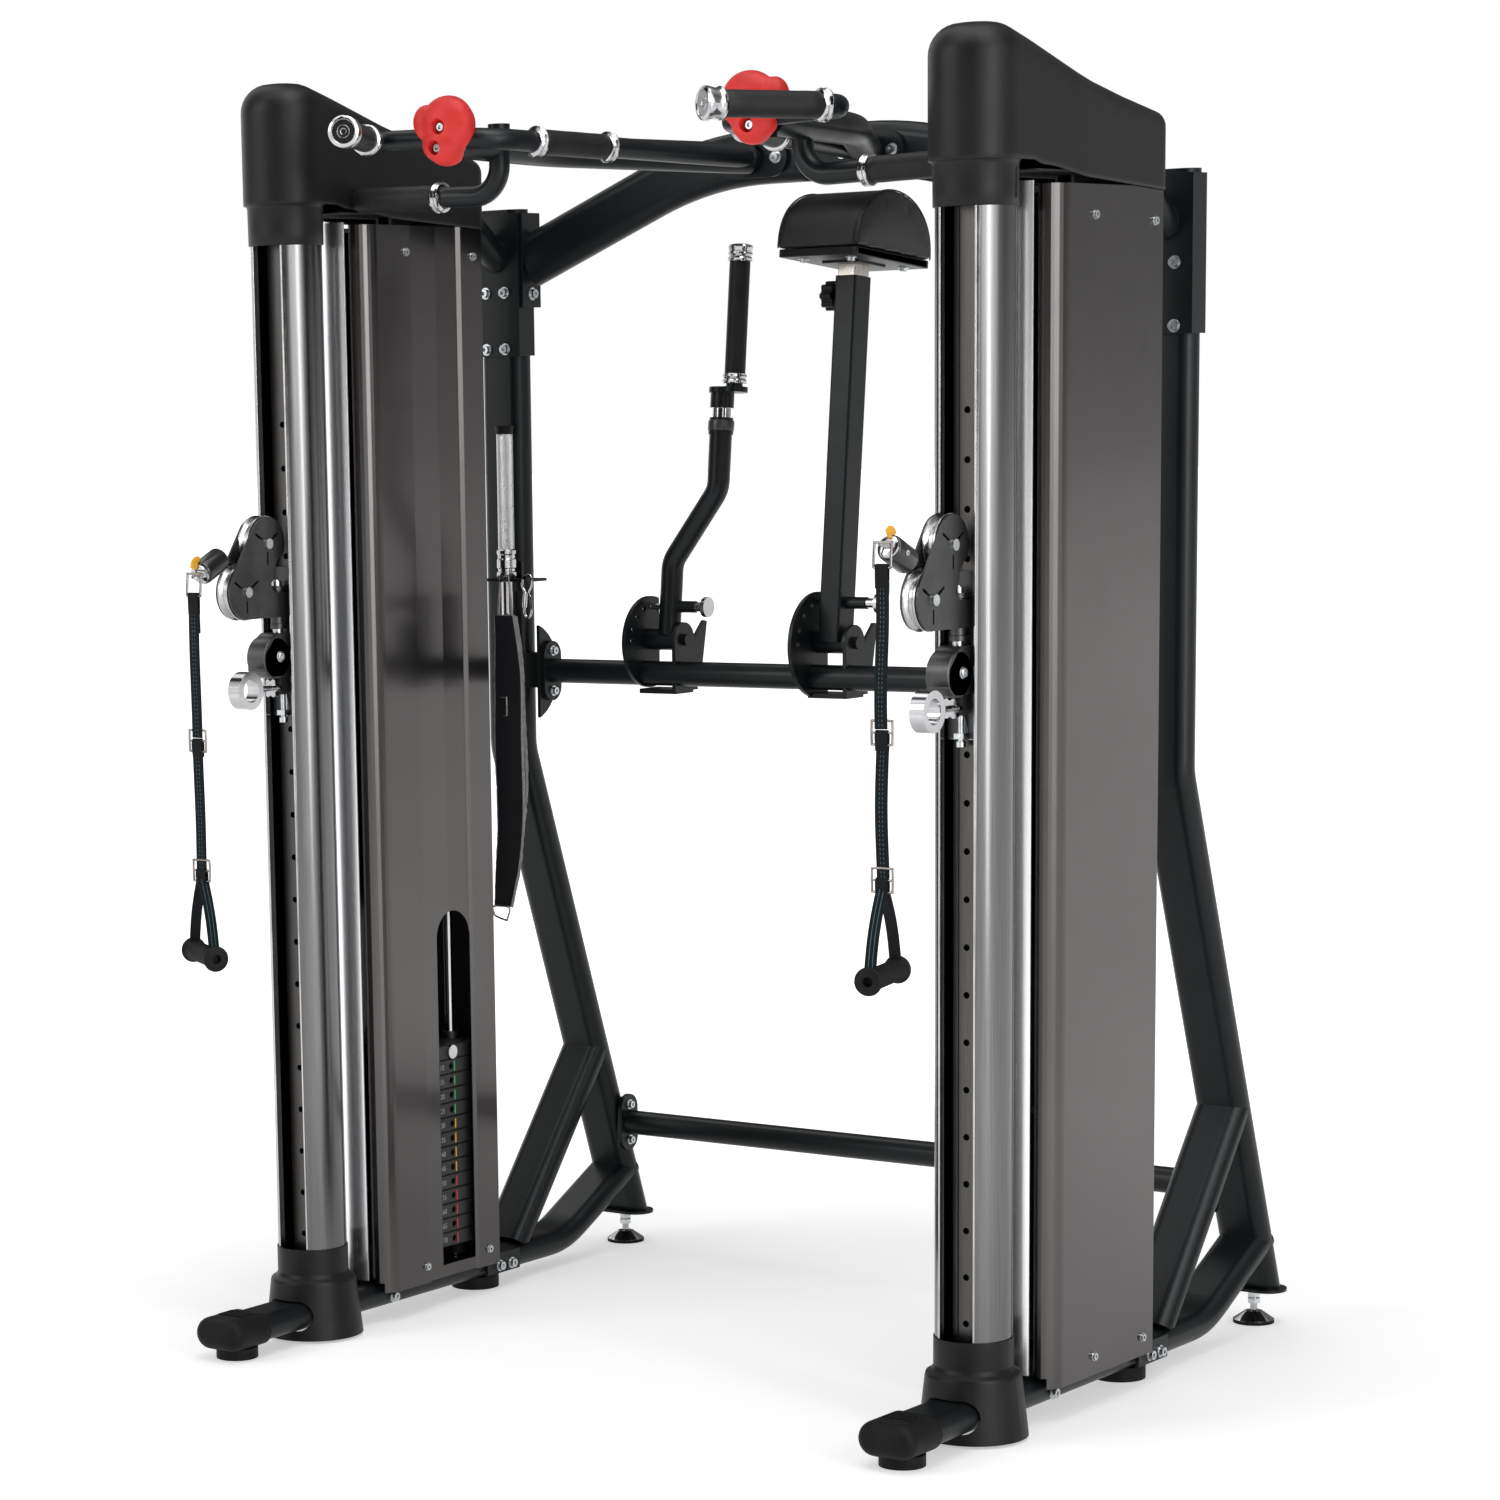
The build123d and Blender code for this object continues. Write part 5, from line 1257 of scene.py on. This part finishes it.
nt.links.new(lpn.outputs["Is Glossy Ray"], mixs.inputs[0])
nt.links.new(mix2.outputs[0], mixs.inputs[1])
nt.links.new(bge.outputs[0], mixs.inputs[2])
nt.links.new(mixs.outputs[0], out.inputs[0])


def area(name, loc, target, size, power, size_y=None):
    l = bpy.data.lights.new(name, "AREA")
    l.energy = power
    l.size = size
    if size_y:
        l.shape = "RECTANGLE"; l.size_y = size_y
    o = bpy.data.objects.new(name, l)
    o.location = (loc[0], loc[1] - Y0 * MM, loc[2])
    o.rotation_euler = (Vector(target) - Vector(loc)).to_track_quat("-Z", "Y").to_euler()
    SC.collection.objects.link(o)
    return o


area("key", (-2.8, -4.2, 3.6), (0, 0, 1.1), 2.2, 70)
area("right_strip", (4.2, -1.4, 1.8), (0, 0.1, 1.0), 0.7, 45, 3.0)
area("top", (0.5, -0.5, 5.0), (0, 0, 1.0), 3.0, 60)

# camera from the fitted view; the lens shift applies only at this exact place
f_px, ppx, ppy = 4132.627, 300.0, 1131.7124
yaw, pitch, roll = -0.6905, 0.1756, -0.027
pos = Vector((3.723161, -5.306754 - Y0 * MM, 1.567872))
fw = Vector((math.sin(yaw) * math.cos(pitch), math.cos(yaw) * math.cos(pitch), -math.sin(pitch)))
rr = Vector((math.cos(yaw), -math.sin(yaw), 0))
uu = rr.cross(fw)
r2 = rr * math.cos(roll) + uu * math.sin(roll)
u2 = uu * math.cos(roll) - rr * math.sin(roll)
cam = bpy.data.cameras.new("cam")
cam.sensor_width = 36
cam.lens = 36 * f_px / 1500
co = bpy.data.objects.new("cam", cam)
co.matrix_world = Matrix(((r2.x, u2.x, -fw.x, pos.x), (r2.y, u2.y, -fw.y, pos.y), (r2.z, u2.z, -fw.z, pos.z), (0, 0, 0, 1)))
cam.clip_start, cam.clip_end = 0.05, 300
SC.collection.objects.link(co)
SC.camera = co
for path, val in (("shift_x", (750 - ppx) / 1500), ("shift_y", (ppy - 750) / 1500)):
    d = cam.driver_add(path).driver
    d.type = "SCRIPTED"
    var = d.variables.new()
    var.name = "x"
    var.type = "TRANSFORMS"
    var.targets[0].id = co
    var.targets[0].transform_type = "LOC_X"
    var.targets[0].transform_space = "WORLD_SPACE"
    d.expression = f"{val} * (abs(x - {pos.x}) < 0.01)"
SC.view_settings.view_transform = "Standard"
SC.view_settings.look = "None"
